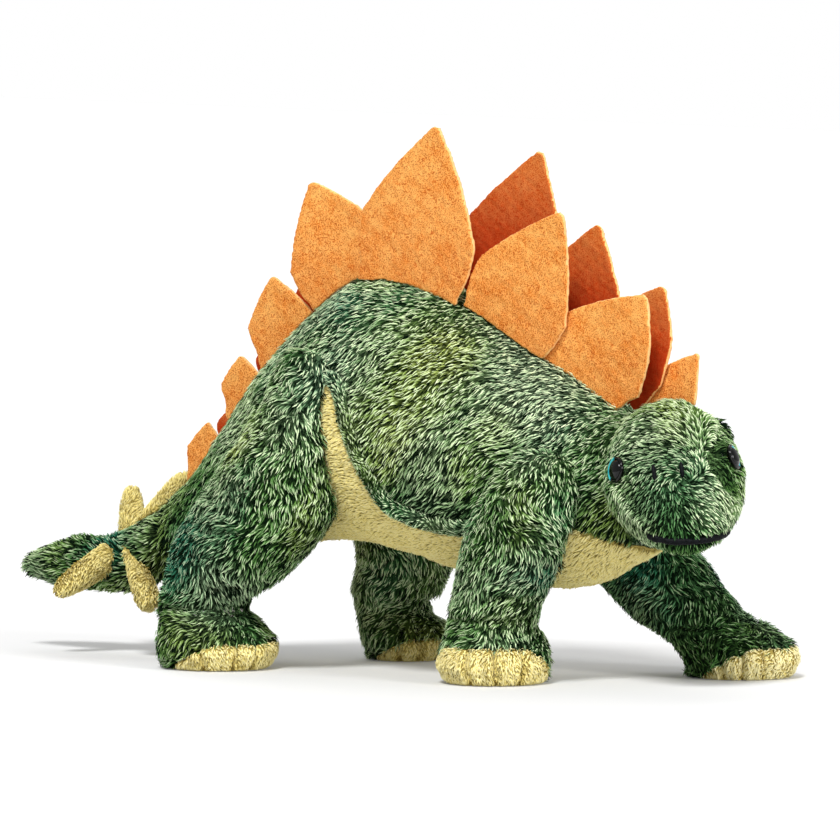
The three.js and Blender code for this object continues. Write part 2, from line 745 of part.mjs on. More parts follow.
// The space that a toe cap fills: level over the toes, sloping to the sole towards the heel.
function toeZone({ side, toes, cap, width, shares }, grow) {
  const widest = Math.max(...shares.slice(0, 4).map((row) => row[3]));
  const [, along, beside] = shares[0];
  const reach = widest * width;
  const slope = new THREE.Shape();
  slope.moveTo(capStartShare * reach - grow, -overrun);
  slope.lineTo(capStartShare * reach - grow, 0);
  slope.lineTo(capFullShare * reach - grow, cap + grow);
  slope.lineTo(reach + overrun + limbDepth, cap + grow);
  slope.lineTo(reach + overrun + limbDepth, -overrun);
  const block = new THREE.ExtrudeGeometry(slope, {
    depth: 2 * (limbDepth + overrun), bevelEnabled: false,
  });
  block.rotateX(Math.PI / 2);
  block.translate(0, limbDepth + overrun, 0);
  block.rotateZ(THREE.MathUtils.degToRad(toes));
  block.translate(along * bodyLength, side * beside * bodyWidth, 0);
  return toSolid(block);
}

function makeLeg(leg) {
  const fabric = legForm(leg, 0, 18, 1).subtract(legForm(leg, skinWall, 12, 1));
  const skin = fabric.subtract(toeZone(leg, seamGap)).subtract(torsoKeepOut);
  const cap = fabric.intersect(toeZone(leg, 0));
  const filling = legForm(leg, skinWall + seamGap, 12, 1).subtract(torsoKeepOut);
  return [
    makePiece(`${leg.name}_leg_skin`, skin, greenPile),
    makePiece(`${leg.name}_toe_cap`, cap, yellowPile),
    makePiece(`${leg.name}_leg_filling`, filling, fibreFill),
  ];
}

// The whole toy, moved so that its origin is the middle of its footprint on the floor
const toy = new THREE.Group();
toy.add(...makeTorso(), ...makePlates(), ...makeTail(), ...makeHead(), ...legs.flatMap(makeLeg));
const extent = new THREE.Box3().setFromObject(toy);
const middle = extent.getCenter(new THREE.Vector3());
toy.position.set(-middle.x, -middle.y, -extent.min.z);

export default toy;
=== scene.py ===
"""A stuffed stegosaurus, dressed in pile fabric, felt, thread and safety eyes.

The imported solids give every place. Each soft solid is replaced by a fuller form made from its own
copy: drawn in by the height of its pile, creased where it is sewn or folds, and then covered with
short bent locks of pile.

Metres. X runs from tail to head, Y to the toy's left, Z up, and the feet stand on Z = 0.
"""

import logging
import math
from collections.abc import Callable, Iterator, Sequence
from contextlib import contextmanager
from dataclasses import dataclass
from enum import Enum, IntEnum
from functools import cached_property

import bmesh
import bpy
import numpy as np
from mathutils import Matrix, Vector
from mathutils.bvhtree import BVHTree


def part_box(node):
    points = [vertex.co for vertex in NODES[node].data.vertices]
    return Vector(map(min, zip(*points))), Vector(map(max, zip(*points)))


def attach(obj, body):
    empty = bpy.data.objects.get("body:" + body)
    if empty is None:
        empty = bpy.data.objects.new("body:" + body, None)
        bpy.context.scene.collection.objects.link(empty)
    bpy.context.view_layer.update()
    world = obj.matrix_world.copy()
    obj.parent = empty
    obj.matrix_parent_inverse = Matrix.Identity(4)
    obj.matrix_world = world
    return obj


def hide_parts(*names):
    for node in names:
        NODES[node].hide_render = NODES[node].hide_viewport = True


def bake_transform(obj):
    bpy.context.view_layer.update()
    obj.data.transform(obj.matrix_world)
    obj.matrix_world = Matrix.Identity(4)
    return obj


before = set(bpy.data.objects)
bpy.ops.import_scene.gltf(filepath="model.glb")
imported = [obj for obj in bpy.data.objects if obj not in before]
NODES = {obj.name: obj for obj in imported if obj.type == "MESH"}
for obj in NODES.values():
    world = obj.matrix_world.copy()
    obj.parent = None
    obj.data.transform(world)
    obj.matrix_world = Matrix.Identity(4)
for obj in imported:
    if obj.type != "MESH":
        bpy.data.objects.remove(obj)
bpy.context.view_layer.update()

log = logging.getLogger("stegosaurus")

MM = 0.001
SPINE_Y = -3.475 * MM  # the torso's own middle plane
FLOOR_CLEARANCE = 0.2 * MM  # how far the lowest pile stays above the floor
SOLE_HEIGHT = 6 * MM  # under it the cloth is flatter, and quite flat on the floor
CLOTH_SHADE_TONE = -0.7  # painted shade of the cloth that shows between the locks; tones run from -1 to 1
CAMERA_AZIMUTH = math.radians(36)  # from the toy's right side towards its head
CAMERA_ELEVATION = math.radians(4)

Array = np.ndarray
Shape = Callable[[Array], Array]
Flow = Callable[[Array, Array], Array]
Place = tuple[float, float, float]
Seen = tuple[float, float]


class Side(Enum):
    """The toy's own right and left, with the sign of Y on that side."""

    RIGHT = -1
    LEFT = 1


class Slot(Enum):
    """The record's material slots."""

    GREEN = "green_pile"
    YELLOW = "yellow_pile"
    FELT = "orange_felt"
    FIBRE = "fibre_fill"
    EYE = "gloss_eye"
    THREAD = "black_thread"


class Field(IntEnum):
    """What each random field is for, with its seed."""

    FIBRE = 3
    CLOTH = 7
    WIDE_SWIRL = 11
    FINE_SWIRL = 12
    TUFTS = 21
    THREAD = 61
    FELT_BOW = 71
    FELT_FACE = 73
    DYES = 80


class Dye(Enum):
    """The dyes that cloud the green pile, in the order of the attribute's three numbers."""

    OLIVE = 0
    TEAL = 1
    SAGE = 2


@dataclass(frozen=True)
class Cloud:
    """A soft patch of dye: where it is, seen from the toy's side, and how wide and strong."""

    dye: Dye
    x: float  # mm
    z: float  # mm
    radius: float  # mm
    strength: float = 0.7


CLOUDS = (
    Cloud(Dye.OLIVE, 54, 157, 26, 0.6),
    Cloud(Dye.SAGE, 112, 152, 28, 1.1),
    Cloud(Dye.OLIVE, 48, 117, 22, 0.85),
    Cloud(Dye.TEAL, 126, 127, 11),
    Cloud(Dye.OLIVE, 100, 129, 12, 0.6),
    Cloud(Dye.TEAL, -8, 186, 20, 0.5),
    Cloud(Dye.TEAL, 0, 146, 15, 0.75),
    Cloud(Dye.SAGE, -15, 128, 16, 0.5),
    Cloud(Dye.OLIVE, -45, 118, 18, 0.5),
    Cloud(Dye.TEAL, -80, 62, 20, 0.7),
    Cloud(Dye.SAGE, -52, 45, 12, 0.7),
    Cloud(Dye.TEAL, 132, 55, 11, 0.85),
    Cloud(Dye.TEAL, 146, 34, 20, 0.7),
    Cloud(Dye.TEAL, -165, 54, 11, 0.95),
    Cloud(Dye.OLIVE, 12, 25, 18, 0.8),
    Cloud(Dye.OLIVE, 190, 128, 20, 0.2),
)


# Materials


def linear(hex_colour: str) -> tuple[float, float, float, float]:
    """Turn an sRGB colour into the linear one that a shader reads.

    Args:
        hex_colour: six hex digits after a #.

    Returns:
        Red, green, blue and an alpha of 1.
    """
    shares = [int(hex_colour[i : i + 2], 16) / 255 for i in (1, 3, 5)]
    red, green, blue = (s / 12.92 if s <= 0.04045 else ((s + 0.055) / 1.055) ** 2.4 for s in shares)
    return red, green, blue, 1.0


def add_node(
    tree: bpy.types.NodeTree,
    kind: str,
    settings: dict | None = None,
    values: dict | None = None,
    links: dict | None = None,
) -> bpy.types.Node:
    """Add one shader node with its settings, plain values and incoming links.

    Args:
        tree: the material's node tree.
        kind: the node's type name, without its ShaderNode prefix.
        settings: properties of the node itself.
        values: socket name or number to its plain value.
        links: socket name or number to the output socket that feeds it.

    Returns:
        The new node.
    """
    node = tree.nodes.new("ShaderNode" + kind)
    for name, value in (settings or {}).items():
        setattr(node, name, value)
    for name, value in (values or {}).items():
        node.inputs[name].default_value = value
    for name, source in (links or {}).items():
        tree.links.new(source, node.inputs[name])
    return node


def mixed(
    tree: bpy.types.NodeTree,
    share: bpy.types.NodeSocket,
    start: str | bpy.types.NodeSocket,
    end: str | bpy.types.NodeSocket,
) -> bpy.types.NodeSocket:
    """Mix two colours, each a hex colour or a socket, and return the mixture's socket."""
    node = add_node(tree, "Mix", {"data_type": "RGBA"}, links={0: share})
    for number, colour in ((6, start), (7, end)):
        if isinstance(colour, str):
            node.inputs[number].default_value = linear(colour)
        else:
            tree.links.new(colour, node.inputs[number])
    return node.outputs[2]


def ramped(
    tree: bpy.types.NodeTree, source: bpy.types.NodeSocket, low: float, high: float, top: float = 1.0
) -> bpy.types.NodeSocket:
    """Return a socket that goes from 0 to top while its source goes from low to high."""
    values = {"From Min": low, "From Max": high, "To Max": top}
    return add_node(tree, "MapRange", values=values, links={"Value": source}).outputs[0]


def attribute(tree: bpy.types.NodeTree, name: str, output: str = "Fac") -> bpy.types.NodeSocket:
    """Return a socket that reads an attribute of the mesh."""
    return add_node(tree, "Attribute", {"attribute_name": name}).outputs[output]


def cloudy(
    tree: bpy.types.NodeTree, size: float, detail: float = 3.0, roughness: float = 0.5
) -> bpy.types.NodeSocket:
    """Return a socket of noise with swells of the given size in metres."""
    place = add_node(tree, "TexCoord").outputs["Object"]
    values = {"Scale": 1 / size, "Detail": detail, "Roughness": roughness}
    return add_node(tree, "TexNoise", values=values, links={"Vector": place}).outputs[0]


def any_ray(tree: bpy.types.NodeTree, *kinds: str) -> bpy.types.NodeSocket:
    """Return a socket that is 1 for rays of either kind, and 0 for all others."""
    path = add_node(tree, "LightPath")
    links = {number: path.outputs[kind] for number, kind in enumerate(kinds)}
    return add_node(tree, "Math", {"operation": "MAXIMUM"}, links=links).outputs[0]


def new_material(
    name: str, roughness: float, specular: float = 0.5
) -> tuple[bpy.types.Material, bpy.types.Node]:
    """Start a material from nothing.

    Args:
        name: the material's name.
        roughness: from 0, mirror-smooth, to 1, matt.
        specular: the strength of its shine.

    Returns:
        The material and its Principled shader, already linked to the output.
    """
    material = bpy.data.materials.new(name)
    material.use_nodes = True
    tree = material.node_tree
    tree.nodes.clear()
    values = {"Roughness": roughness, "Specular IOR Level": specular}
    shader = add_node(tree, "BsdfPrincipled", values=values)
    add_node(tree, "OutputMaterial", links={"Surface": shader.outputs[0]})
    return material, shader


@dataclass(frozen=True, kw_only=True)
class Finish:
    """How one stuff of the toy looks, and the record's slot that it stands for."""

    name: str
    slot: Slot | None = None  # none for a finish that shares its piece with another

    @cached_property
    def material(self) -> bpy.types.Material:
        """The finish as a material, made when it is first asked for."""
        return self.build()


@dataclass(frozen=True, kw_only=True)
class PileFinish(Finish):
    """Brushed polyester pile, dyed in soft clouds.

    The eye gets near-black gaps between the locks, painted shade darker than the pile's own roots,
    pale locks beside dark ones, partly the pile's own mixed tones and partly painted highlight and
    shade, and clouds of neighbouring hues as large as a thumb.
    """

    # the roots' colour: the pile's own dark roots, deepened into painted shade between the locks
    root: str
    main: str
    # the tip's colour, which the pale locks and the ridges' painted highlight go towards
    tip: str
    tip_share: float = 0.9  # how far the palest locks go towards the tip colour
    dyes: tuple[str, ...] = ()

    def build(self) -> bpy.types.Material:
        """Make the material; it reads the attributes tone and dye of the pile."""
        material, shader = new_material(self.name, roughness=0.8, specular=0.05)
        tree = material.node_tree
        colour = self.main
        weights = add_node(tree, "SeparateXYZ", links={0: attribute(tree, "dye", "Vector")}).outputs
        for dye, weight in zip(self.dyes, weights):
            colour = mixed(tree, weight, colour, dye)
        tone = attribute(tree, "tone")
        # the tone mixes in painted highlight towards the tip colour and painted shade towards the root
        # colour
        colour = mixed(tree, ramped(tree, tone, 0.0, 1.0, self.tip_share), colour, self.tip)
        colour = mixed(tree, ramped(tree, tone, 0.0, -1.0), colour, self.root)
        tree.links.new(colour, shader.inputs["Base Color"])
        return material


@dataclass(frozen=True, kw_only=True)
class FeltFinish(Finish):
    """Pressed wool felt: matt, with a fine fibre grain, deeper in painted shade where it is shut in, with a
    painted highlight along its edges.
    """

    main: str
    pale: str
    fleck: str
    deep: str  # its colour at a tone of 1: painted shade where the felt is shut in
    edge: str  # its colour at a tone of -1: painted highlight along the edges
    # Real felt's fibres are 0.02 mm; these bundles are drawn coarser, so that they show
    grain: float = 0.6 * MM
    mottle: float = 9 * MM

    def build(self) -> bpy.types.Material:
        """Make the material; it reads the attribute tone of the felt."""
        material, shader = new_material(self.name, roughness=0.95, specular=0.12)
        tree = material.node_tree
        grain = cloudy(tree, self.grain, 3.0, 0.7)
        mottled = ramped(tree, cloudy(tree, self.mottle, 7.0, 0.75), 0.36, 0.64)
        colour = mixed(tree, mottled, self.main, self.pale)
        colour = mixed(tree, ramped(tree, grain, 0.5, 0.62, 0.95), colour, self.fleck)
        colour = mixed(tree, ramped(tree, grain, 0.49, 0.38, 0.9), colour, self.pale)
        # the tone paints shade where the felt is shut in, and a highlight along its edges
        tone = attribute(tree, "tone")
        colour = mixed(tree, ramped(tree, tone, 0.0, 1.0), colour, self.deep)
        colour = mixed(tree, ramped(tree, tone, 0.0, -1.0), colour, self.edge)
        values = {"Strength": 0.7, "Distance": 0.4 * MM}
        relief = add_node(tree, "Bump", values=values, links={"Height": grain})
        tree.links.new(colour, shader.inputs["Base Color"])
        tree.links.new(relief.outputs[0], shader.inputs["Normal"])
        return material


@dataclass(frozen=True, kw_only=True)
class CloudedFinish(Finish):
    """A plain stuff in two near shades: filling fibre, satin thread or moulded plastic."""

    main: str
    other: str
    size: float = 4 * MM  # of its clouds
    roughness: float
    specular: float = 0.5
    relief: float = 0.0  # depth of the furrows between its strands

    def build(self) -> bpy.types.Material:
        """Make the material, clouded at its own size."""
        material, shader = new_material(self.name, self.roughness, self.specular)
        tree = material.node_tree
        noise = cloudy(tree, self.size)
        colour = mixed(tree, ramped(tree, noise, 0.35, 0.65), self.main, self.other)
        tree.links.new(colour, shader.inputs["Base Color"])
        if self.relief:
            values = {"Strength": 0.6, "Distance": self.relief}
            bump = add_node(tree, "Bump", values=values, links={"Height": noise})
            tree.links.new(bump.outputs[0], shader.inputs["Normal"])
        return material


GREEN_PILE = PileFinish(
    name="brushed_green_pile",
    slot=Slot.GREEN,
    root="#031405",
    main="#5A8A45",
    tip="#F0FFD2",
    dyes=("#A4B452", "#2B7B62", "#9DB890"),
)
YELLOW_PILE = PileFinish(
    name="brushed_yellow_pile", slot=Slot.YELLOW, root="#8E7630", main="#F6E48C", tip="#FFF8C8"
)
ORANGE_FELT = FeltFinish(
    name="pressed_orange_felt",
    slot=Slot.FELT,
    main="#E8862F",
    pale="#FFBC66",
    fleck="#AC420C",
    deep="#AA2200",
    edge="#FFD594",
)
FIBRE_FILL = CloudedFinish(
    name="carded_fibre_filling",
    slot=Slot.FIBRE,
    main="#F6F4EC",
    other="#CFCBBE",
    size=7 * MM,
    roughness=1.0,
)
BLACK_THREAD = CloudedFinish(
    name="twisted_black_thread",
    slot=Slot.THREAD,
    main="#14161A",
    other="#020303",
    size=0.9 * MM,
    roughness=0.5,
    specular=0.08,
    relief=0.2 * MM,
)
BLACK_DOME = CloudedFinish(
    name="moulded_black_dome",
    slot=Slot.EYE,
    main="#010202",
    other="#040505",
    roughness=0.1,
    specular=0.35,
)
TEAL_RING = CloudedFinish(
    name="moulded_teal_ring", main="#1FA3AE", other="#45CFD0", roughness=0.25
)
WHITE_WASHER = CloudedFinish(
    name="moulded_white_nylon", main="#EDEDE8", other="#DADAD2", roughness=0.55
)


# Meshes


def linked(name: str, data: bpy.types.ID) -> bpy.types.Object:
    """Put data into the scene as an object at the origin."""
    holder = bpy.data.objects.new(name, data)
    bpy.context.scene.collection.objects.link(holder)
    return holder


def new_piece(name: str, mesh: bpy.types.Mesh, *materials: bpy.types.Material) -> bpy.types.Object:
    """Put a mesh into the scene as a piece at the origin.

    Args:
        name: the piece's name.
        mesh: its mesh, already in the row frame.
        materials: its materials, in the order of its face indices.

    Returns:
        The new object.
    """
    mesh.name = name
    if mesh.materials:
        mesh.materials.clear()
    for material in materials:
        mesh.materials.append(material)
    return linked(name, mesh)


def evaluated(piece: bpy.types.Object) -> bpy.types.Mesh:
    """Return the piece's mesh with its modifiers applied, and remove the piece itself."""
    graph = bpy.context.evaluated_depsgraph_get()
    mesh = bpy.data.meshes.new_from_object(piece.evaluated_get(graph))
    bpy.data.objects.remove(piece)
    return mesh


@contextmanager
def edited(mesh: bpy.types.Mesh) -> Iterator[bmesh.types.BMesh]:
    """Open a mesh for changes to its corners and faces, and write them back at the end."""
    inside = bmesh.new()
    inside.from_mesh(mesh)
    yield inside
    inside.to_mesh(mesh)
    inside.free()


def merged(node: str) -> bmesh.types.BMesh:
    """Return a copy of a CAD node's loose triangles, merged into one skin."""
    copy = bmesh.new()
    copy.from_mesh(NODES[node].data)
    bmesh.ops.remove_doubles(copy, verts=copy.verts, dist=0.001 * MM)
    return copy


def surface(node: str) -> BVHTree:
    """Return a CAD node's surface, for finding places on it."""
    copy = merged(node)
    tree = BVHTree.FromBMesh(copy)
    copy.free()
    return tree


def even_mesh(node: str, voxel: float, rounds: int) -> bpy.types.Mesh:
    """Remake a CAD node's copy with even faces and soft edges.

    Args:
        node: the CAD node to copy.
        voxel: the size of a face.
        rounds: how many times the copy is smoothed.

    Returns:
        The new mesh, closed as the solid is.
    """
    copy = merged(node)
    mesh = bpy.data.meshes.new("even")
    copy.to_mesh(mesh)
    copy.free()
    piece = new_piece("even", mesh)
    remesher = piece.modifiers.new("Even faces", "REMESH")
    remesher.mode = "VOXEL"
    remesher.voxel_size = voxel
    mesh = evaluated(piece)
    with edited(mesh) as soft:
        for factor in [0.5, -0.52] * rounds:  # the second of each pair undoes the shrinking
            bmesh.ops.smooth_vert(
                soft, verts=soft.verts, factor=factor, use_axis_x=True, use_axis_y=True, use_axis_z=True
            )
    mesh.shade_smooth()
    return mesh


def rows_of(items: bpy.types.bpy_prop_collection, name: str, kind: type = np.float32) -> Array:
    """Return three numbers of every item in a mesh's collection, as rows."""
    flat = np.empty(len(items) * 3, kind)
    items.foreach_get(name, flat)
    return flat.reshape(-1, 3)


def places_of(mesh: bpy.types.Mesh) -> Array:
    """Return the mesh's vertices as rows of X, Y and Z."""
    return rows_of(mesh.vertices, "co").astype(float)


def normals_of(mesh: bpy.types.Mesh) -> Array:
    """Return the mesh's vertex normals as rows of X, Y and Z."""
    return rows_of(mesh.vertex_normals, "vector").astype(float)


def triangles_of(mesh: bpy.types.Mesh) -> Array:
    """Return the mesh's faces, cut into triangles, as rows of vertex numbers."""
    mesh.calc_loop_triangles()
    return rows_of(mesh.loop_triangles, "vertices", np.int32)


def move_to(mesh: bpy.types.Mesh, places: Array) -> None:
    """Move the mesh's vertices to new places."""
    mesh.vertices.foreach_set("co", places.astype(np.float32).ravel())
    mesh.update()


def colour_points(mesh: bpy.types.Mesh, tones: Array, dyes: Array) -> None:
    """Give each vertex its tone, from -1 dark to 1 pale, and its share of each dye."""
    tone = mesh.attributes.new("tone", "FLOAT", "POINT")
    tone.data.foreach_set("value", tones.astype(np.float32))
    dye = mesh.attributes.new("dye", "FLOAT_VECTOR", "POINT")
    dye.data.foreach_set("vector", dyes.astype(np.float32).ravel())


# Places in space


def unit(rows: Array) -> Array:
    """Return the rows at length one."""
    return rows / np.maximum(np.linalg.norm(rows, axis=-1, keepdims=True), 1e-12)


def share(way: Array, whole: float) -> Array:
    """Return how much of the whole way is gone, from 0 to 1."""
    return np.clip(way / whole, 0, 1)


def wavering(places: Array, wavelength: float, seed: int) -> Array:
    """A smooth random field, mostly from -1 to 1.

    Args:
        places: rows of X, Y and Z.
        wavelength: the usual distance from one swell to the next.
        seed: which field it is.

    Returns:
        One number for each place.
    """
    rng = np.random.default_rng(seed)
    waves = 9
    total = np.zeros(len(places))
    for _ in range(waves):
        way = unit(rng.normal(size=3))
        length = wavelength * rng.uniform(0.7, 1.5)
        total += np.sin(places @ way * (2 * math.pi / length) + rng.uniform(0, 2 * math.pi))
    return total / math.sqrt(waves)


def dyed(places: Array) -> Array:
    """Return the share of each dye at each place: faint random clouds and the placed ones."""
    faint = 0.4
    most = 0.9
    shares = np.zeros((len(places), len(Dye)))
    for dye in Dye:
        clouds = wavering(places, 48 * MM, Field.DYES + dye.value)
        shares[:, dye.value] = faint * np.clip(clouds, 0, 1)
    for cloud in CLOUDS:
        reach = (places[:, [0, 2]] / MM - [cloud.x, cloud.z]) / cloud.radius
        shares[:, cloud.dye.value] += cloud.strength * np.exp(-(reach**2).sum(axis=1))
    return np.clip(shares, 0, most)


def towards(azimuth: float, elevation: float) -> Vector:
    """Return the way from the toy to something at those angles."""
    flat = math.cos(elevation)
    return Vector((math.sin(azimuth) * flat, -math.cos(azimuth) * flat, math.sin(elevation)))


def level_way(degrees: float) -> Vector:
    """Return the level way at an angle from +X, seen from above."""
    angle = math.radians(degrees)
    return Vector((math.cos(angle), math.sin(angle), 0))


def away_from_line(places: Array, line: Array) -> Array:
    """Distance of each place from a line of several points.

    Args:
        places: rows of X, Y and Z.
        line: the line's points, in order.

    Returns:
        The distances.
    """
    least = np.full(len(places), np.inf)
    for start, end in zip(line[:-1], line[1:]):
        way = end - start
        along = np.clip((places - start) @ way / max(way @ way, 1e-12), 0, 1)
        gap = np.linalg.norm(places - start - along[:, None] * way, axis=1)
        least = np.minimum(least, gap)
    return least


def nearest_on(nodes: Sequence[str], places: Array) -> tuple[Array, Array]:
    """Find the nearest point on any of the CAD nodes to each place.

    Args:
        nodes: the CAD nodes.
        places: rows of X, Y and Z.

    Returns:
        The points, and how far off they are.
    """
    points = np.zeros_like(places)
    gaps = np.full(len(places), np.inf)
    for tree in [surface(node) for node in nodes]:
        hits = [tree.find_nearest(Vector(place)) for place in places]
        gap = np.array([hit[3] for hit in hits])
        closer = gap < gaps
        points[closer] = np.array([hit[0] for hit in hits])[closer]
        gaps[closer] = gap[closer]
    return points, gaps


def cell_keys(places: Array, size: float) -> Array:
    """Return one number for the cube of that size that each place lies in."""
    cells = np.floor(places / size).astype(np.int64)
    return (cells[:, 0] * 73_856_093) ^ (cells[:, 1] * 19_349_663) ^ (cells[:, 2] * 83_492_791)


def resampled(line: Array, step: float) -> Array:
    """Return points evenly spaced along a line of several points."""
    lengths = np.linalg.norm(np.diff(line, axis=0), axis=1)
    reached = np.concatenate([[0], np.cumsum(lengths)])
    count = max(2, round(reached[-1] / step))
    wanted = np.linspace(0, reached[-1], count + 1)
    return np.stack([np.interp(wanted, reached, line[:, k]) for k in range(3)], axis=1)


def flow_along(x: float, y: float, z: float) -> Flow:
    """Return a nap that lies one way all over."""
    return lambda places, normals: np.tile(np.array([x, y, z]), (len(places), 1))


def tube(line: Array, radius: float, sides: int) -> bpy.types.Mesh:
    """Make a closed tube with rounded ends along a line.

    Args:
        line: the tube's middle line.
        radius: its radius.
        sides: how many faces go round it.

    Returns:
        The tube's mesh.
    """
    curve = bpy.data.curves.new("line", "CURVE")
    curve.dimensions = "3D"
    curve.bevel_depth = radius
    curve.bevel_resolution = max(1, sides // 4 - 1)
    curve.use_fill_caps = True
    spline = curve.splines.new("POLY")
    spline.points.add(len(line) - 1)
    for index, (point, place) in enumerate(zip(spline.points, line)):
        point.co = (*place, 1)
        near_end = min(index, len(line) - 1 - index)
        point.radius = min(1.0, 0.45 + 0.3 * near_end)
    holder = linked("line", curve)
    bpy.context.view_layer.update()
    mesh = evaluated(holder)
    bpy.data.curves.remove(curve)
    with edited(mesh) as skin:
        bmesh.ops.remove_doubles(skin, verts=skin.verts, dist=0.01 * MM)
        bmesh.ops.recalc_face_normals(skin, faces=skin.faces)
    mesh.shade_smooth()
    return mesh


# Cloth


@dataclass
class Crease:
    """A sewn or folded line in the cloth: sunk along the line, swollen beside it.

    With a depth below zero it is a ridge instead.
    """

    line: Array
    depth: float
    width: float
    swell: float = 0.35  # of the depth

    def sink(self, places: Array) -> Array:
        """Return how far the cloth sinks at each place; below zero it swells."""
        reach = away_from_line(places, self.line) / self.width
        return self.depth * (np.exp(-(reach**2)) - self.swell * np.exp(-((reach - 1.9) ** 2)))

    def nearness(self, places: Array) -> Array:
        """Return how near the line each place is, from 0 to 1."""
        reach = away_from_line(places, self.line) / self.width
        return np.exp(-((1.3 * reach) ** 2))


def sunk(creases: Sequence[Crease], places: Array) -> Array:
    """Return how far the creases together sink each place, and nothing on the floor."""
    total = sum((crease.sink(places) for crease in creases), np.zeros(len(places)))
    return total * share(places[:, 2], SOLE_HEIGHT)


def nearest_of(creases: Sequence[Crease], places: Array) -> Array:
    """Return how near the nearest crease each place is, from 0 to 1."""
    return np.max([crease.nearness(places) for crease in creases], axis=0)


@dataclass
class Ground:
    """A piece of cloth, with the outer part of it that pile grows on."""

    piece: bpy.types.Object
    places: Array
    normals: Array
    triangles: Array

    def keep(self, chosen: Array) -> None:
        """Let pile grow only on the triangles whose three corners are all chosen."""
        self.triangles = self.triangles[chosen[self.triangles].all(axis=1)]


def whole_ground(
    name: str,
    mesh: bpy.types.Mesh,
    places: Array,
    finish: Finish,
    tones: Array | float = CLOTH_SHADE_TONE,
) -> Ground:
    """Make a piece of cloth that pile may grow on all over.

    Args:
        name: the piece's name.
        mesh: its mesh in its final shape.
        places: where its vertices are.
        finish: its finish.
        tones: the tone of every vertex, or one for all.

    Returns:
        The cloth as ground.
    """
    colour_points(mesh, np.zeros(len(places)) + tones, dyed(places))
    piece = new_piece(name, mesh, finish.material)
    return Ground(piece, places, normals_of(mesh), triangles_of(mesh))


@dataclass
class Cloth:
    """One sewn skin, remade from its CAD node as soft cloth that pile can grow on."""

    node: str
    filling: str
    voxel: float = 1.4 * MM
    rounds: int = 6
    drawn_in: float = 2.5 * MM  # the height of the pile that stands on it
    lumps: float = 0.6 * MM  # how unevenly the filling fills it
    creases: Sequence[Crease] = ()
    firm: Sequence[str] = ()  # hard parts behind it, which it doesn't sink into
    shaped: Shape | None = None  # moves the places last of all
    lump_length: float = 30 * MM  # from one lump to the next
    thickness: float = 1.2 * MM  # what lies nearer the filling is the cloth's inside
    least_over_filling: float = 0.4 * MM
    least_over_firm: float = 3 * MM

    def build(self, name: str, finish: Finish) -> Ground:
        """Remake the skin and find its outside.

        Args:
            name: the new piece's name.
            finish: its finish.

        Returns:
            The piece, with its outer cloth as ground for the pile.
        """
        mesh = even_mesh(self.node, self.voxel, self.rounds)
        places, normals = places_of(mesh), normals_of(mesh)
        behind, depth = nearest_on([self.filling, *self.firm], places)
        away = unit(places - behind)
        outside = ((normals * away).sum(axis=1) > 0.05) & (depth > self.thickness)
        sink = self.drawn_in + self.lumps * wavering(places, self.lump_length, Field.CLOTH)
        sink *= share(places[:, 2], SOLE_HEIGHT) * share(depth, 2 * self.thickness)
        sink = np.minimum(sink, np.maximum(depth - self.least_over_filling, 0))
        dented = sunk(self.creases, places)
        if self.firm:
            room = nearest_on(self.firm, places)[1]
            dented = np.minimum(dented, np.maximum(room - self.least_over_firm, 0))
        moved = places - away * (sink + dented)[:, None]
        if self.shaped is not None:
            moved = self.shaped(moved)
        moved[:, 2] = np.maximum(moved[:, 2], FLOOR_CLEARANCE)
        move_to(mesh, moved)
        tones = np.full(len(moved), CLOTH_SHADE_TONE)
        # painted shade: the cloth is darker in its creases
        if self.creases:
            tones -= 0.6 * nearest_of(self.creases, moved)
        ground = whole_ground(name, mesh, moved, finish, tones)
        ground.keep(outside)
        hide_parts(self.node)
        return ground


# Pile

# A lock is a bent ridge of seven corners: left, ridge and right of its foot, right, ridge and left
# of its elbow, and its tip
LOCK_CORNERS = 7
LOCK_FACES = np.array([0, 1, 4, 5, 1, 2, 3, 4, 5, 4, 6, 4, 3, 6])  # root halves, then tip halves
LOCK_FACE_STARTS = np.array([0, 4, 8, 11])
LOCK_SHADING_TONES = np.array([-1.0, -0.9, -1.0, -0.45, 0.15, -0.45, 0.3])  # of its own: painted shade at its foot and edges over the pile's darker roots, painted highlight on its ridge and tip
LOCK_CARRIES = np.array([0.0, 0.3, 0.0, 0.85, 1.0, 0.85, 1.0])  # how much of its strand's tone
LOCK_MAP = np.array(  # where its corners lie in its cell of the bake map
    [(0.1, 0.1), (0.5, 0.1), (0.9, 0.1), (0.9, 0.55), (0.5, 0.55), (0.1, 0.55), (0.5, 0.95)]
)
# Tones of the dark and pale locks: partly the pile's own mixed fibres, partly painted shade and highlight
DARK_STRANDS = (-1.5, -0.5)
PALE_STRANDS = (0.0, 1.0)


def near_one(rng: np.random.Generator, count: int, spread: float) -> Array:
    """Return random factors that differ by up to the spread, evenly round 1."""
    return 1 - spread / 2 + spread * rng.random(count)


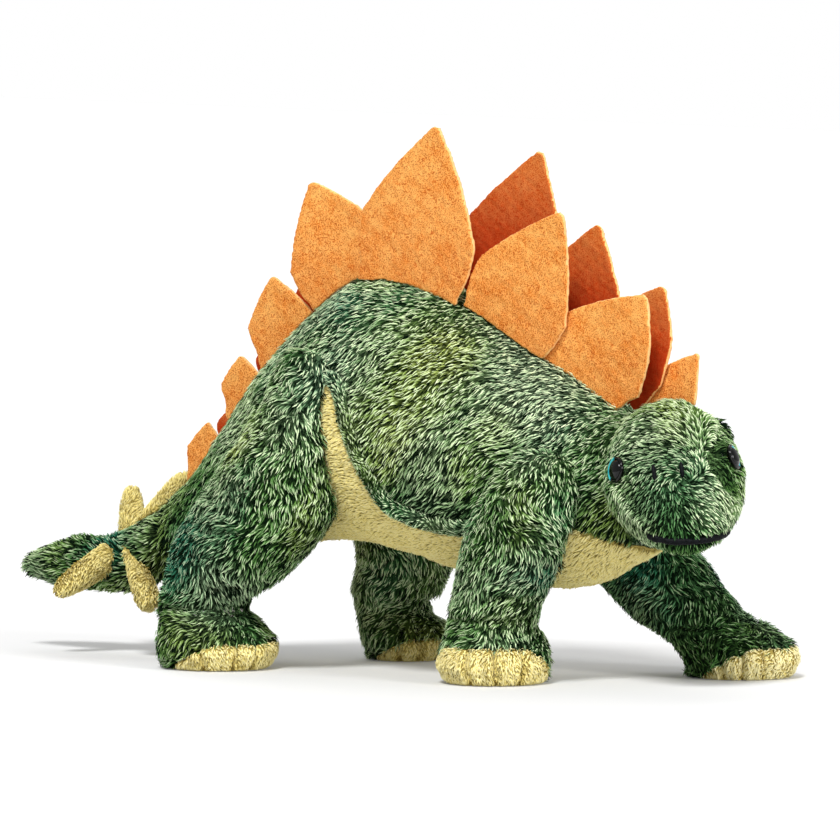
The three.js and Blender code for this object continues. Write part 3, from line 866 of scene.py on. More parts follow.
@dataclass(frozen=True)
class Pile:
    """Pile fabric's locks: short bent ridges, leaning with the nap and drawn into tufts."""

    length: float = 5.0 * MM
    width: float = 0.74 * MM
    spacing: float = 1.12 * MM
    lean: float = math.radians(13)  # of the lock's outer half, from the cloth
    rise: float = math.radians(38)  # of its root half
    tuft: float = 2.6 * MM
    pull: float = 0.25  # how far a tuft draws its locks together
    unrest: float = 0.3  # how far the nap turns aside, in radians
    contrast: float = 1.0  # between dark and pale locks
    pale_share: float = 0.46  # of the locks
    pale_lift: float = 0.35 * MM  # of the pale locks, so that they lie over the dark ones
    buried: float = 0.4 * MM  # how deep the locks' feet are in the cloth
    most_in_piece: int = 32_000

    def grow(
        self,
        name: str,
        ground: Ground,
        flow: Flow,
        finish: Finish,
        seed: int,
        shade: Callable[[Array], Array] | None = None,
        bald: Callable[[Array], Array] | None = None,
    ) -> list[bpy.types.Object]:
        """Cover the ground with locks.

        Args:
            name: the name of the pile; its pieces are numbered.
            ground: the cloth that it grows on.
            flow: gives the way that the nap lies at each place.
            finish: the pile's finish.
            seed: starts its random choices.
            shade: gives how much darker or paler the locks are, from -1 to 1, mostly as painted shade and
                highlight.
            bald: says where no lock grows.

        Returns:
            The pieces of pile.
        """
        rng = np.random.default_rng(seed)
        roots, normals = self._roots(ground, rng)
        if bald is not None:
            kept = ~bald(roots)
            roots, normals = roots[kept], normals[kept]
        order = np.argsort(roots[:, 0], kind="stable")
        roots, normals = roots[order], normals[order]
        pale = rng.random(len(roots)) < self.pale_share
        roots = roots + normals * (self.pale_lift * pale)[:, None]
        corners = self._locks(roots, normals, flow, rng)
        dark = rng.uniform(*DARK_STRANDS, len(roots))
        light = rng.uniform(*PALE_STRANDS, len(roots))
        strand = self.contrast * np.where(pale, light, dark)
        if shade is not None:
            strand = strand + shade(roots)
        pieces = []
        parts = max(1, math.ceil(len(roots) / self.most_in_piece))
        for number, rows in enumerate(np.array_split(np.arange(len(roots)), parts), start=1):
            title = f"{name}_{number}" if parts > 1 else name
            mesh = self._mesh(title, corners[rows], strand[rows], dyed(roots[rows]))
            pieces.append(new_piece(title, mesh, finish.material))
        return pieces

    def _roots(self, ground: Ground, rng: np.random.Generator) -> tuple[Array, Array]:
        """Scatter roots evenly over the ground, and return them with the cloth's normals."""
        a, b, c = (ground.places[ground.triangles[:, k]] for k in range(3))
        areas = np.linalg.norm(np.cross(b - a, c - a), axis=1) / 2
        tries_in_cell = 2.2
        tries = int(tries_in_cell * areas.sum() / self.spacing**2)
        picked = rng.choice(len(areas), size=tries, p=areas / areas.sum())
        u, v = rng.random(tries), rng.random(tries)
        folded = u + v > 1
        u[folded], v[folded] = 1 - u[folded], 1 - v[folded]
        weights = np.stack([1 - u - v, u, v], axis=1)
        chosen = ground.triangles[picked]
        roots = (ground.places[chosen] * weights[:, :, None]).sum(axis=1)
        normals = unit((ground.normals[chosen] * weights[:, :, None]).sum(axis=1))
        _, first = np.unique(cell_keys(roots, self.spacing), return_index=True)
        first.sort()
        return roots[first], normals[first]

    def _locks(self, roots: Array, normals: Array, flow: Flow, rng: np.random.Generator) -> Array:
        """Return each lock's seven corners: three at its foot, three at its elbow, and its tip."""
        count = len(roots)
        nap = flow(roots, normals)
        nap = unit(nap - (nap * normals).sum(axis=1, keepdims=True) * normals)
        aside = np.cross(normals, nap)
        swirl = 0.8 * wavering(roots, 42 * MM, Field.WIDE_SWIRL)
        swirl += 0.6 * wavering(roots, 13 * MM, Field.FINE_SWIRL)
        turn = self.unrest * swirl + rng.normal(0, 0.2, count)
        nap = nap * np.cos(turn)[:, None] + aside * np.sin(turn)[:, None]
        length = self.length * near_one(rng, count, 0.6)
        warp = [wavering(roots, 7 * MM, Field.TUFTS + k) for k in range(3)]
        keys = cell_keys(roots + 0.35 * self.tuft * np.stack(warp, axis=1), self.tuft)
        _, tuft_of = np.unique(keys, return_inverse=True)
        tufts = tuft_of.max() + 1
        members = np.bincount(tuft_of, minlength=tufts)[:, None]

        def of_tuft(rows: Array) -> Array:
            """Return the mean of the rows over each lock's tuft."""
            sums = [np.bincount(tuft_of, weights=rows[:, k], minlength=tufts) for k in range(3)]
            return (np.stack(sums, axis=1) / members)[tuft_of]

        rise = self.rise + rng.normal(0, 0.14, count)
        lean = self.lean + rng.normal(0, 0.14, count)
        first = nap * np.cos(rise)[:, None] + normals * np.sin(rise)[:, None]
        second = nap * np.cos(lean)[:, None] + normals * np.sin(lean)[:, None]
        tuft_length = self.length * near_one(rng, tufts, 0.3)[tuft_of]
        centre = of_tuft(roots)
        elbow = roots + first * (0.45 * length)[:, None]
        tip = elbow + second * (0.55 * length)[:, None]
        tuft_tip = centre + unit(of_tuft(second)) * tuft_length[:, None]
        tip = tip + (tuft_tip + normals * (0.15 * self.length) - tip) * self.pull
        side = unit(np.cross(first, normals))
        roll = rng.normal(0, 0.3, count)[:, None]
        side = side * np.cos(roll) + np.cross(first, side) * np.sin(roll)
        width = self.width * near_one(rng, count, 0.6)[:, None]
        half = side * width / 2
        ridge = normals * (0.4 * width)
        foot = roots - normals * self.buried
        corners = np.stack(
            [foot - half, foot + ridge, foot + half, elbow + half, elbow + ridge, elbow - half, tip],
            axis=1,
        )
        corners[:, :, 2] = np.maximum(corners[:, :, 2], FLOOR_CLEARANCE)
        return corners

    @staticmethod
    def _mesh(name: str, corners: Array, strand: Array, dyes: Array) -> bpy.types.Mesh:
        """Make one piece's mesh from its locks, with a cell of the bake map for each lock."""
        count = len(corners)
        start = LOCK_CORNERS * np.arange(count)[:, None]
        mesh = bpy.data.meshes.new(name)
        mesh.vertices.add(LOCK_CORNERS * count)
        mesh.vertices.foreach_set("co", corners.astype(np.float32).ravel())
        mesh.loops.add(len(LOCK_FACES) * count)
        mesh.loops.foreach_set("vertex_index", (start + LOCK_FACES).ravel())
        mesh.polygons.add(len(LOCK_FACE_STARTS) * count)
        starts = len(LOCK_FACES) * np.arange(count)[:, None] + LOCK_FACE_STARTS
        mesh.polygons.foreach_set("loop_start", starts.ravel())
        mesh.update(calc_edges=True)
        mesh.shade_smooth()
        tones = np.clip(LOCK_SHADING_TONES + strand[:, None] * LOCK_CARRIES, -1, 1)
        colour_points(mesh, tones.ravel(), np.repeat(dyes, LOCK_CORNERS, axis=0))
        cells = math.ceil(math.sqrt(count))
        cell = np.stack([np.arange(count) % cells, np.arange(count) // cells], axis=1)[:, None, :]
        atlas = mesh.uv_layers.new(name="OFBake")
        spots = (cell + LOCK_MAP[LOCK_FACES]) / cells
        atlas.uv.foreach_set("vector", spots.astype(np.float32).ravel())
        return mesh


BELLY_PILE = Pile(
    length=3.6 * MM, width=0.8 * MM, spacing=0.95 * MM, pull=0.2, unrest=0.35,
    lean=math.radians(8), rise=math.radians(26), contrast=0.25, pale_share=0.72,
)
RIM_PILE = Pile(length=2.6 * MM, width=0.62 * MM, spacing=0.85 * MM, pull=0.1, unrest=1.0)
TOE_PILE = Pile(
    length=2.2 * MM, width=0.65 * MM, spacing=0.75 * MM, pull=0.2, unrest=0.7,
    lean=math.radians(12), rise=math.radians(36), contrast=0.4, pale_share=0.7,
)
SPIKE_PILE = Pile(
    length=2.6 * MM, width=0.7 * MM, spacing=0.8 * MM, pull=0.2, unrest=0.6,
    lean=math.radians(16), rise=math.radians(40), contrast=0.45, pale_share=0.66,
)
HEAD_PILE = Pile(length=4.0 * MM, width=0.7 * MM, spacing=0.98 * MM)


@dataclass(frozen=True)
class Seam:
    """Where a limb's cloth meets the torso: from start on the torso's side to end on the limb's."""

    start: Place
    end: Place


@dataclass(frozen=True)
class Body:
    """One CAD body of the toy, with the seam that joins it to the torso, if it has one."""

    name: str
    seam: Seam | None = None

    def carry(self, finish: Finish, *pieces: bpy.types.Object) -> None:
        """Hang finished pieces from the body's empty; on a body with a seam, bake their place into their
        meshes instead. Log their faces.

        Args:
            finish: not used.
            pieces: the pieces.
        """
        for piece in pieces:
            if self.seam is None:
                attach(piece, self.name)
            else:
                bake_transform(piece)
            log.info("%s: %d faces on %s", piece.name, len(piece.data.polygons), self.name)

    def cover(
        self,
        ground: Ground,
        finish: Finish,
        pile: Pile,
        flow: Flow,
        seed: int,
        shade: Callable[[Array], Array] | None = None,
        bald: Callable[[Array], Array] | None = None,
        fill: float = 0.8,
    ) -> None:
        """Grow pile on a piece of cloth, and carry the cloth and its pile as the body's pieces.

        Args:
            ground: the cloth.
            finish: the finish of cloth and pile.
            pile: the kind of pile.
            flow: gives the way that the nap lies at each place.
            seed: starts the pile's random choices.
            shade: gives how much darker or paler the locks are, from -1 to 1, mostly as painted shade and
                highlight.
            bald: says where no lock grows.
            fill: not used.
        """
        cloth = ground.piece
        name = cloth.name.removesuffix("_cloth") + "_pile"
        self.carry(finish, cloth, *pile.grow(name, ground, flow, finish, seed, shade, bald))

    def stuff(
        self, node: str, creases: Sequence[Crease] = (), shaped: Shape | None = None
    ) -> None:
        """Replace a filling by lumpier fibre of the same form.

        Args:
            node: the CAD filling.
            creases: its skin's creases, which sink it too.
            shaped: moves its places as its skin's are moved.
        """
        mesh = even_mesh(node, 4.5 * MM, 2)
        places, normals = places_of(mesh), normals_of(mesh)
        lumps = np.minimum(0.5 * MM * (wavering(places, 14 * MM, Field.FIBRE) - 1.2), 0)
        places = places + normals * (lumps - sunk(creases, places))[:, None]
        move_to(mesh, shaped(places) if shaped is not None else places)
        piece = new_piece(node.replace("filling", "fibre"), mesh, FIBRE_FILL.material)
        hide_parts(node)
        self.carry(FIBRE_FILL, piece)


# The toy's sub-assemblies


@dataclass(frozen=True)
class Torso:
    """Green side panels with a rolled rim over the yellow belly panel."""

    body: Body = Body("torso")
    rim_radius: float = 3.2 * MM
    rim_from: float = -3 * MM
    rim_to: float = 104 * MM
    crease_over_rim: float = 5.4 * MM
    neck_end_from: float = 148 * MM
    neck_opening: float = 24 * MM  # its radius; deeper inside no pile grows
    filling_back: float = 16 * MM  # how far the filling stays back from the neck's opening

    def build(self) -> None:
        """Make the side panels, the belly panel, the rims, the neck's end and the filling."""
        rims = {side: self.rim_line(side) for side in Side}
        above = np.array([0, 0, self.crease_over_rim])
        beside = [Crease(line + above, 3.0 * MM, 2.2 * MM) for line in rims.values()]
        panels = Cloth("torso_skin", "torso_filling", voxel=1.8 * MM, creases=beside)
        self.body.cover(
            panels.build("side_panels", GREEN_PILE),
            GREEN_PILE,
            Pile(),
            self.nap,
            seed=1,
            # painted shade: darker in the crease over each rim and low on the flanks
            shade=lambda places: -1.4 * nearest_of(beside, places) - 0.6 * self.lowness(places),
        )
        belly = Cloth(
            "belly_panel", "torso_filling", voxel=1.8 * MM, drawn_in=0.9 * MM, lumps=0.5 * MM
        )
        self.body.cover(
            belly.build("belly_cloth", YELLOW_PILE),
            YELLOW_PILE,
            BELLY_PILE,
            flow_along(-1, 0, -0.4),
            seed=2,
            shade=lambda places: np.full(len(places), 0.25),
            fill=0.7,
        )
        for side, line in rims.items():
            self.build_rim(side, line)
        self.build_neck_end()
        self.body.stuff("torso_filling", creases=beside, shaped=self.behind_neck)

    def build_neck_end(self) -> None:
        """Close the panels' front end, which the head is sewn to, with the same cloth."""
        mesh = even_mesh("torso_filling", 2.5 * MM, 3)
        with edited(mesh) as end:
            behind = [vert for vert in end.verts if vert.co.x < self.neck_end_from]
            bmesh.ops.delete(end, geom=behind, context="VERTS")
            bmesh.ops.translate(end, verts=end.verts, vec=(-2.5 * MM, 0, 0))
            bmesh.ops.solidify(end, geom=end.faces[:], thickness=1.0 * MM)
            bmesh.ops.recalc_face_normals(end, faces=end.faces)
        places = places_of(mesh)
        ground = whole_ground("neck_end_cloth", mesh, places, GREEN_PILE)
        middle = (places.min(axis=0) + places.max(axis=0)) / 2
        outer = np.linalg.norm((places - middle)[:, 1:], axis=1) > self.neck_opening
        ground.keep(outer & (ground.normals[:, 0] > 0.1))
        self.body.cover(ground, GREEN_PILE, RIM_PILE, flow_along(0, 0, -1), seed=8)

    @staticmethod
    def lowness(places: Array) -> Array:
        """Return how low on the flanks each place is, from 0 to 1."""
        return share(128 * MM - places[:, 2], 50 * MM)

    def behind_neck(self, places: Array) -> Array:
        """Keep the filling back from the neck's opening."""
        back = self.filling_back * share(places[:, 0] - 132 * MM, 26 * MM)
        return places - back[:, None] * np.array([1.0, 0.0, 0.0])

    @staticmethod
    def nap(places: Array, normals: Array) -> Array:
        """The nap lies back towards the tail and down the flanks, more aside on the back."""
        back = np.tile(np.array([-0.62, 0.0, -0.8]), (len(places), 1))
        outwards = np.sign(places[:, 1] - SPINE_Y)
        top = share(places[:, 2] - 150 * MM, 50 * MM)
        back[:, 1] = outwards * (0.1 + 0.4 * top)
        return back

    def rim_line(self, side: Side) -> Array:
        """Return the line of the rolled rim on one side, along the belly panel's upper edge.

        Args:
            side: the side of the toy.

        Returns:
            Points on the line, evenly spaced.
        """
        panel = places_of(NODES["belly_panel"].data)
        panel = panel[(panel[:, 1] - SPINE_Y) * side.value > 10 * MM]
        skin = surface("torso_skin")
        step = 3 * MM
        rough = []
        for x in np.arange(self.rim_from, self.rim_to, step):
            z = panel[np.abs(panel[:, 0] - x) < 1.5 * step, 2].max()
            start = Vector((x, SPINE_Y + side.value * 0.15, z + 1.5 * MM))
            hit = skin.ray_cast(start, Vector((0, -side.value, 0)))[0]
            if hit is not None:
                rough.append([x, hit.y - side.value * 0.6 * MM, z])
        line = np.array(rough)
        for _ in range(3):
            line[1:-1] = (line[:-2] + 2 * line[1:-1] + line[2:]) / 4
        return resampled(line, step)

    def build_rim(self, side: Side, line: Array) -> None:
        """Make the rolled rim of one side, with its pile.

        Args:
            side: the side of the toy.
            line: the rim's middle line.
        """
        name = f"{side.name.lower()}_belly_rim"
        mesh = tube(line, self.rim_radius, 12)
        ground = whole_ground(name, mesh, places_of(mesh), GREEN_PILE)
        ways = unit(np.gradient(line, axis=0))

        def nap(places: Array, normals: Array) -> Array:
            """The nap of the rim lies along it and a little down."""
            nearest = np.abs(places[:, None, 0] - line[None, :, 0]).argmin(axis=1)
            return -ways[nearest] + np.array([0, 0, -0.5])

        self.body.cover(ground, GREEN_PILE, RIM_PILE, nap, seed=5 + side.value, fill=0.7)


@dataclass(frozen=True)
class Leg:
    """One leg: green pile over the limb and foot, a yellow toe cap and the filling."""

    name: str
    hip: Place  # the joint
    foot: tuple[float, float]  # the middle of the sole
    toe_seams: tuple[float, ...]  # degrees from +X, seen from above
    folds: tuple[tuple[float, float, float, float], ...]  # height mm, middle and half span deg, depth mm
    seed: int
    painted_foot_shade: float  # painted shade of its green pile towards the foot
    toe_painted_light: float  # paleness of its yellow pile: painted light that differs from leg to leg
    cast_from: float = 0.1  # how far outside the limb a ray starts

    def build(self) -> None:
        """Make the leg's pieces."""
        seams = [self.toe_seam(angle) for angle in self.toe_seams]
        folds = [self.fold(*row) for row in self.folds]
        creases = [*folds, *seams]
        x, y, z = self.hip
        body = Body(f"{self.name}_leg", Seam((x, y, z + 24 * MM), (x, y, z - 26 * MM)))
        filling = f"{self.name}_leg_filling"
        skin = Cloth(f"{self.name}_leg_skin", filling, creases=creases)
        body.cover(
            skin.build(f"{self.name}_leg_cloth", GREEN_PILE),
            GREEN_PILE,
            Pile(unrest=0.75),
            self.nap,
            seed=self.seed,
            # painted shade in the folds and seams, and towards the foot
            shade=lambda places: -0.7 * nearest_of(creases, places)
            - self.painted_foot_shade * share(125 * MM - places[:, 2], 70 * MM),
        )
        cap = Cloth(
            f"{self.name}_toe_cap",
            filling,
            voxel=1.3 * MM,
            drawn_in=0.6 * MM,
            lumps=0.2 * MM,
            creases=seams,
        )
        body.cover(
            cap.build(f"{self.name}_toe_cloth", YELLOW_PILE),
            YELLOW_PILE,
            TOE_PILE,
            flow_along(0.1, -0.2, -1.0),
            seed=self.seed + 1,
            # painted light on the toes, differing from leg to leg, and painted shade in the toe seams
            shade=lambda places: self.toe_painted_light - 2.0 * nearest_of(seams, places),
            bald=lambda places: (places[:, 2] < 1.0 * MM) | (nearest_of(seams, places) > 0.55),
        )
        body.stuff(filling, creases)

    def nap(self, places: Array, normals: Array) -> Array:
        """The nap runs down the leg, and outwards over the foot."""
        down = np.tile(np.array([-0.3, 0.0, -1.0]), (len(places), 1))
        low = np.clip(1 - places[:, 2] / (38 * MM), 0, 1)[:, None]
        out = places - np.array([*self.foot, 0.0])
        out[:, 2] = 0
        return down * (1 - 0.6 * low) + unit(out) * low

    def toe_seam(self, angle: float) -> Crease:
        """Return the sewn dent between two toes, on the foot's outside at that angle."""
        way = level_way(angle)
        skins = [surface(f"{self.name}_toe_cap"), surface(f"{self.name}_leg_skin")]
        line = []
        for height in (2, 5, 8, 11, 14, 17, 20):
            start = Vector((*self.foot, height * MM)) + way * self.cast_from
            hits = [skin.ray_cast(start, -way)[0] for skin in skins]
            reached = [hit for hit in hits if hit is not None]
            line.append(np.array(min(reached, key=lambda hit: (hit - start).length)))
        return Crease(np.array(line), 3.4 * MM, 1.7 * MM, 0.5)

    def fold(self, height: float, middle: float, half: float, depth: float) -> Crease:
        """Return a fold that runs part of the way round the leg at a height."""
        skin = places_of(NODES[f"{self.name}_leg_skin"].data)
        level = skin[np.abs(skin[:, 2] - height * MM) < 9 * MM]
        centre = (level.min(axis=0) + level.max(axis=0)) / 2
        outside = surface(f"{self.name}_leg_skin")
        line = []
        for angle in np.linspace(middle - half, middle + half, 7):
            way = level_way(angle)
            start = Vector((centre[0], centre[1], height * MM)) + way * self.cast_from
            hit = outside.ray_cast(start, -way)[0]
            if hit is not None:
                line.append(np.array(hit))
        return Crease(np.array(line), 1.3 * depth * MM, 2.3 * MM, 0.45)


LEGS = (
    Leg(
        "right_hind",
        hip=(-0.0219, -0.0485, 0.125),
        foot=(-68.2 * MM, -54.4 * MM),
        toe_seams=(-70, -37, -14),
        folds=(
            (131, -64, 20, 2.0), (122, -84, 25, 2.0), (93, -90, 12, 1.6), (70, -105, 16, 1.8),
            (58, -105, 16, 1.8), (31, -60, 75, 2.4), (42, -40, 40, 1.6),
        ),
        seed=11,
        painted_foot_shade=0.45,
        toe_painted_light=0.4,
    ),
    Leg(
        "left_hind",
        hip=(-0.0219, 0.0415, 0.125),
        foot=(-22.9 * MM, 47.5 * MM),
        toe_seams=(-68, -42, -15),
        folds=((118, 80, 26, 1.8), (92, 95, 20, 1.6), (66, 60, 22, 1.6), (30, 40, 70, 2.2)),
        seed=13,
        painted_foot_shade=-0.1,
        toe_painted_light=0.2,
    ),
    Leg(
        "right_front",
        hip=(0.1212, -0.0475, 0.095),
        foot=(97.9 * MM, -47.5 * MM),
        toe_seams=(-83, -54, -25),
        folds=(
            (97, -98, 18, 1.8), (80, -42, 18, 1.8), (71, -22, 18, 2.0), (33, -70, 60, 2.4),
            (44, -30, 35, 1.8),
        ),
        seed=15,
        painted_foot_shade=0.2,
        toe_painted_light=0.4,
    ),
    Leg(
        "left_front",
        hip=(0.1092, 0.0405, 0.095),
        foot=(174.9 * MM, 54.6 * MM),
        toe_seams=(-73, -52, -28, 0),
        folds=((80, 80, 22, 1.6), (58, -50, 24, 1.6), (27, -30, 60, 2.0)),
        seed=17,
        painted_foot_shade=0.6,
        toe_painted_light=0.95,
    ),
)


@dataclass(frozen=True)
class Tail:
    """The tail's green pile, with its four stuffed yellow spikes."""

    body: Body = Body("tail", Seam((-0.127, -0.0035, 0.063), (-0.150, -0.0035, 0.060)))
    spikes: tuple[str, ...] = (
        "right_rear_spike", "right_front_spike", "left_rear_spike", "left_front_spike",
    )
    spikes_from: float = 58 * MM  # the height that they point away from

    def build(self) -> None:
        """Make the tail's cloth, its pile, the spikes and the filling."""
        self.body.cover(
            Cloth("tail_skin", "tail_filling").build("tail_cloth", GREEN_PILE),
            GREEN_PILE,
            Pile(unrest=0.6),
            flow_along(-1, 0, -0.25),
            seed=31,
            # painted shade: the tail's locks are darker all over
            shade=lambda places: np.full(len(places), -0.35),
        )
        self.body.stuff("tail_filling")
        for number, node in enumerate(self.spikes):
            self.build_spike(node, 40 + number)

    def build_spike(self, node: str, seed: int) -> None:
        """Make one spike with its pile.

        Args:
            node: the CAD spike.
            seed: starts its random choices.
        """
        mesh = even_mesh(node, 1.1 * MM, 5)
        places = places_of(mesh) - normals_of(mesh) * (0.8 * MM)
        move_to(mesh, places)
        # the cloth between the locks is darkened as painted shade
        ground = whole_ground(f"{node}_cloth", mesh, places, YELLOW_PILE, -0.5)
        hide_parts(node)
        middle = places.mean(axis=0)
        out = unit(middle - np.array([middle[0], SPINE_Y, self.spikes_from]))
        self.body.cover(ground, YELLOW_PILE, SPIKE_PILE, flow_along(*out), seed)


@dataclass
class Head:
    """The head: green pile with a sewn brow and cheek, safety eyes, mouth and nostrils.

    Its lines and spots are given to the left of and above the head's middle in millimetres, as
    the camera sees them.
    """

    body: Body = Body("head", Seam((0.154, -0.002, 0.1), (0.176, -0.011, 0.1)))
    firm_body: Body = Body("head")  # for the rigid pieces, which hang from the head's empty
    middle: Place = (184.63 * MM, -15.44 * MM, 104.08 * MM)
    turn: float = math.radians(-50)
    roll: float = math.radians(6)
    eye_radius: float = 6.5 * MM
    near_eye_aim: float = math.radians(63)
    far_eye_aim: float = math.radians(73)
    eye_tilt: float = math.radians(14)
    eye_from: Place = (7.74 * MM, 0.0, 0.39 * MM)
    eye_out: float = 1.7 * MM
    eye_rim: float = 1.5 * MM
    dome_height: float = 3.0 * MM
    mouth_from: Place = (17.2 * MM, 0.0, -28.2 * MM)
    mouth_turn: float = math.radians(9)
    mouth_half: float = math.radians(58)
    thread_radius: float = 1.8 * MM
    nostril_radius: float = 1.15 * MM
    brow: tuple[Seen, ...] = (
        (21.0, 27.0), (19.0, 19.5), (14.6, 11.5), (13.4, 7.0), (15.6, 0.8), (20.0, -6.0),
        (25.0, -12.5), (29.0, -18.0),
    )
    socket: tuple[Seen, ...] = ((23.5, 12.5), (20.0, 6.5), (22.5, -1.0), (27.5, -7.5))
    near_cheek: tuple[Seen, ...] = ((-30.0, -2.0), (-28.0, -7.5), (-25.0, -13.0), (-20.5, -19.5))
    far_lid: tuple[Seen, ...] = ((28.3, 25.5), (29.5, 19.0))
    muzzle_seam: tuple[Seen, ...] = ((4.0, 5.0), (4.6, -4.0), (5.4, -14.0), (6.0, -27.0))
    # Each row: place, radius in mm and tone, a painted shade below 0 and a painted highlight above 0
    spots: tuple[tuple[Seen, float, float], ...] = (
        ((-5.0, -14.0), 10.0, -0.6), ((-19.0, -10.0), 9.0, -0.8), ((-2.0, -24.0), 8.0, -0.4),
        ((19.5, 7.5), 5.5, -1.5), ((24.0, 13.0), 6.0, -1.5), ((24.0, 0.0), 7.0, -1.5),
        ((29.0, 23.0), 6.0, -2.2), ((29.0, -7.0), 6.0, -1.4),
        ((12.0, -17.0), 7.5, 0.5), ((27.0, -19.0), 8.0, 0.7), ((19.0, -22.0), 8.0, 0.5),
        ((15.0, 31.0), 11.0, 0.7), ((-8.0, 10.0), 9.0, -0.35), ((0.0, -38.0), 12.0, -0.9),
        ((-24.0, 24.0), 9.0, 0.3),
    )

    def __post_init__(self) -> None:
        """Work out the head's own three directions."""
        turned = Matrix.Rotation(self.turn, 3, "Z")
        self.forward = turned @ Vector((1, 0, 0))
        rolled = Matrix.Rotation(self.roll, 3, self.forward)
        self.left = rolled @ (turned @ Vector((0, 1, 0)))
        self.up = rolled @ Vector((0, 0, 1))

    def at(self, forward: float, left: float, up: float) -> Vector:
        """Return the place that far forwards, left and up from the head's middle."""
        return Vector(self.middle) + self.forward * forward + self.left * left + self.up * up

    def local(self, places: Array) -> Array:
        """Return places as millimetres forwards, left and up from the head's middle."""
        axes = np.array([self.forward, self.left, self.up])
        return (places - np.array(self.middle)) @ axes.T / MM

    def seen(self, points: Sequence[Seen]) -> Array:
        """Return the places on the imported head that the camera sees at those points.

        Args:
            points: millimetres to the left and up of the head's middle.

        Returns:
            Rows of X, Y and Z. A point beside the head gives the nearest place on it.
        """
        face = surface("head_skin")
        view = towards(CAMERA_AZIMUTH, CAMERA_ELEVATION)
        found = []
        for left, up in points:
            aimed = self.at(0, left * MM, up * MM)
            hit = face.ray_cast(aimed + view * 0.1, -view)[0]
            found.append(np.array(hit if hit is not None else face.find_nearest(aimed)[0]))
        return np.array(found)

    def shaped(self, places: Array) -> Array:
        """Narrow the jaw on its near side, the far cheek and the chin, as the sewn face is."""
        inner = self.local(places)
        low = share(-2 - inner[:, 2], 26)
        near = share(-inner[:, 1], 30)
        far = share(inner[:, 1], 30)
        chin = share(-22 - inner[:, 2], 14)
        aside = (3.2 * low * near - 0.8 * far) * MM
        return places + aside[:, None] * np.array(self.left) + (2.2 * MM * chin)[:, None] * np.array(self.up)

    def build(self) -> None:
        """Make the head's pieces."""
        mouth = self.mouth_line()
        brow = Crease(self.seen(self.brow), -2.2 * MM, 2.6 * MM, 0.0)
        cheek = Crease(self.seen(self.near_cheek), -2.4 * MM, 2.6 * MM, 0.0)
        muzzle = Crease(self.seen(self.muzzle_seam), 1.0 * MM, 1.8 * MM)
        creases = [
            brow,
            cheek,
            muzzle,
            Crease(self.seen(self.socket), 3.4 * MM, 3.8 * MM, 0.0),
            Crease(self.seen(self.far_lid), -3.0 * MM, 3.6 * MM, 0.0),
            Crease(mouth, 1.6 * MM, 2.6 * MM),
        ]
        cloth = Cloth(
            "head_skin",
            "head_filling",
            drawn_in=2.2 * MM,
            creases=creases,
            firm=[f"{side.name.lower()}_eye_washer" for side in Side],
            shaped=self.shaped,
        )
        mouth = self.shaped(mouth)
        spots = self.seen([place for place, _, _ in self.spots])
        # The pile at an eye's front corner hangs over its rim
        back = self.forward * (3.2 * MM)
        bare = [(np.array([self.eye_place(side) - back] * 2), 6.6 * MM) for side in Side]
        bare += [(self.nostril_line(side), 1.0 * MM) for side in Side]
        bare.append((mouth, 1.5 * MM))

        def shade(places: Array) -> Array:
            """Painted shade on the sockets, the muzzle's near half and the chin, painted highlight on the
            ridges and pale spots, and a little painted shade over the whole head.
            """
            tone = 1.4 * brow.nearness(places) + 1.7 * cheek.nearness(places)
            tone -= 0.7 * muzzle.nearness(places)
            for spot, (_, radius, strength) in zip(spots, self.spots):
                reach = (places - spot) / (radius * MM)
                tone += strength * np.exp(-(reach**2).sum(axis=1))
            return np.clip(tone - 0.13, -1.2, 1)

        def bald(places: Array) -> Array:
            """No pile grows under the eyes, the nostrils or the mouth's thread."""
            return np.any([away_from_line(places, line) < reach for line, reach in bare], axis=0)

        self.body.cover(
            cloth.build("head_cloth", GREEN_PILE), GREEN_PILE, HEAD_PILE, self.nap,
            seed=51, shade=shade, bald=bald, fill=0.85,
        )
        self.body.stuff("head_filling", creases, self.shaped)
        self.build_mouth(mouth)
        for side in Side:
            self.build_eye(side)
            self.build_nostril(side)

    def nap(self, places: Array, normals: Array) -> Array:
        """The nap falls from the crown round either side in arcs, and down over the muzzle."""
        inner = self.local(places)
        left, up, forward = (np.array(way) for way in (self.left, self.up, self.forward))
        around = np.cross(forward, unit(left * inner[:, 1:2] + up * inner[:, 2:3]))
        parting = np.tanh((inner[:, 1:2] - 14) / 11)
        arcs = -around * parting - forward * 0.25
        for side in Side:  # it lies back over the front of each eye's rim
            reach = np.linalg.norm(places - np.array(self.eye_place(side)), axis=1) / (9 * MM)
            arcs = arcs - forward * (1.6 * np.exp(-(reach**2)))[:, None]
        down = -up + left * 0.45 * np.tanh(inner[:, 1:2] / 9) - forward * 0.1
        high = share(inner[:, 2:3] + 8, 14)
        return arcs * high + down * (1 - high)

    def eye_way(self, side: Side) -> Vector:
        """Return the way that an eye looks."""
        aim = self.near_eye_aim if side is Side.RIGHT else self.far_eye_aim
        flat = Matrix.Rotation(side.value * aim, 3, self.up) @ self.forward
        return flat * math.cos(self.eye_tilt) + self.up * math.sin(self.eye_tilt)

    def eye_place(self, side: Side) -> Vector:
        """Return the middle of the eye's flat back, a little further out than its CAD button."""
        button = places_of(NODES[f"{side.name.lower()}_eye"].data)
        way = np.array(self.eye_way(side))
        along = (button - np.array(self.at(*self.eye_from))) @ way
        rim = button[along > along.max() - 5.2 * MM]
        seat = rim.mean(axis=0) + way * (self.eye_out - ((rim - rim.mean(axis=0)) @ way).max() + 1 * MM)
        return Vector(self.shaped(seat[None, :])[0])

    def build_eye(self, side: Side) -> None:
        """Make one safety eye: a glossy black dome with a teal rim at its back corner."""
        name = f"{side.name.lower()}_eye"
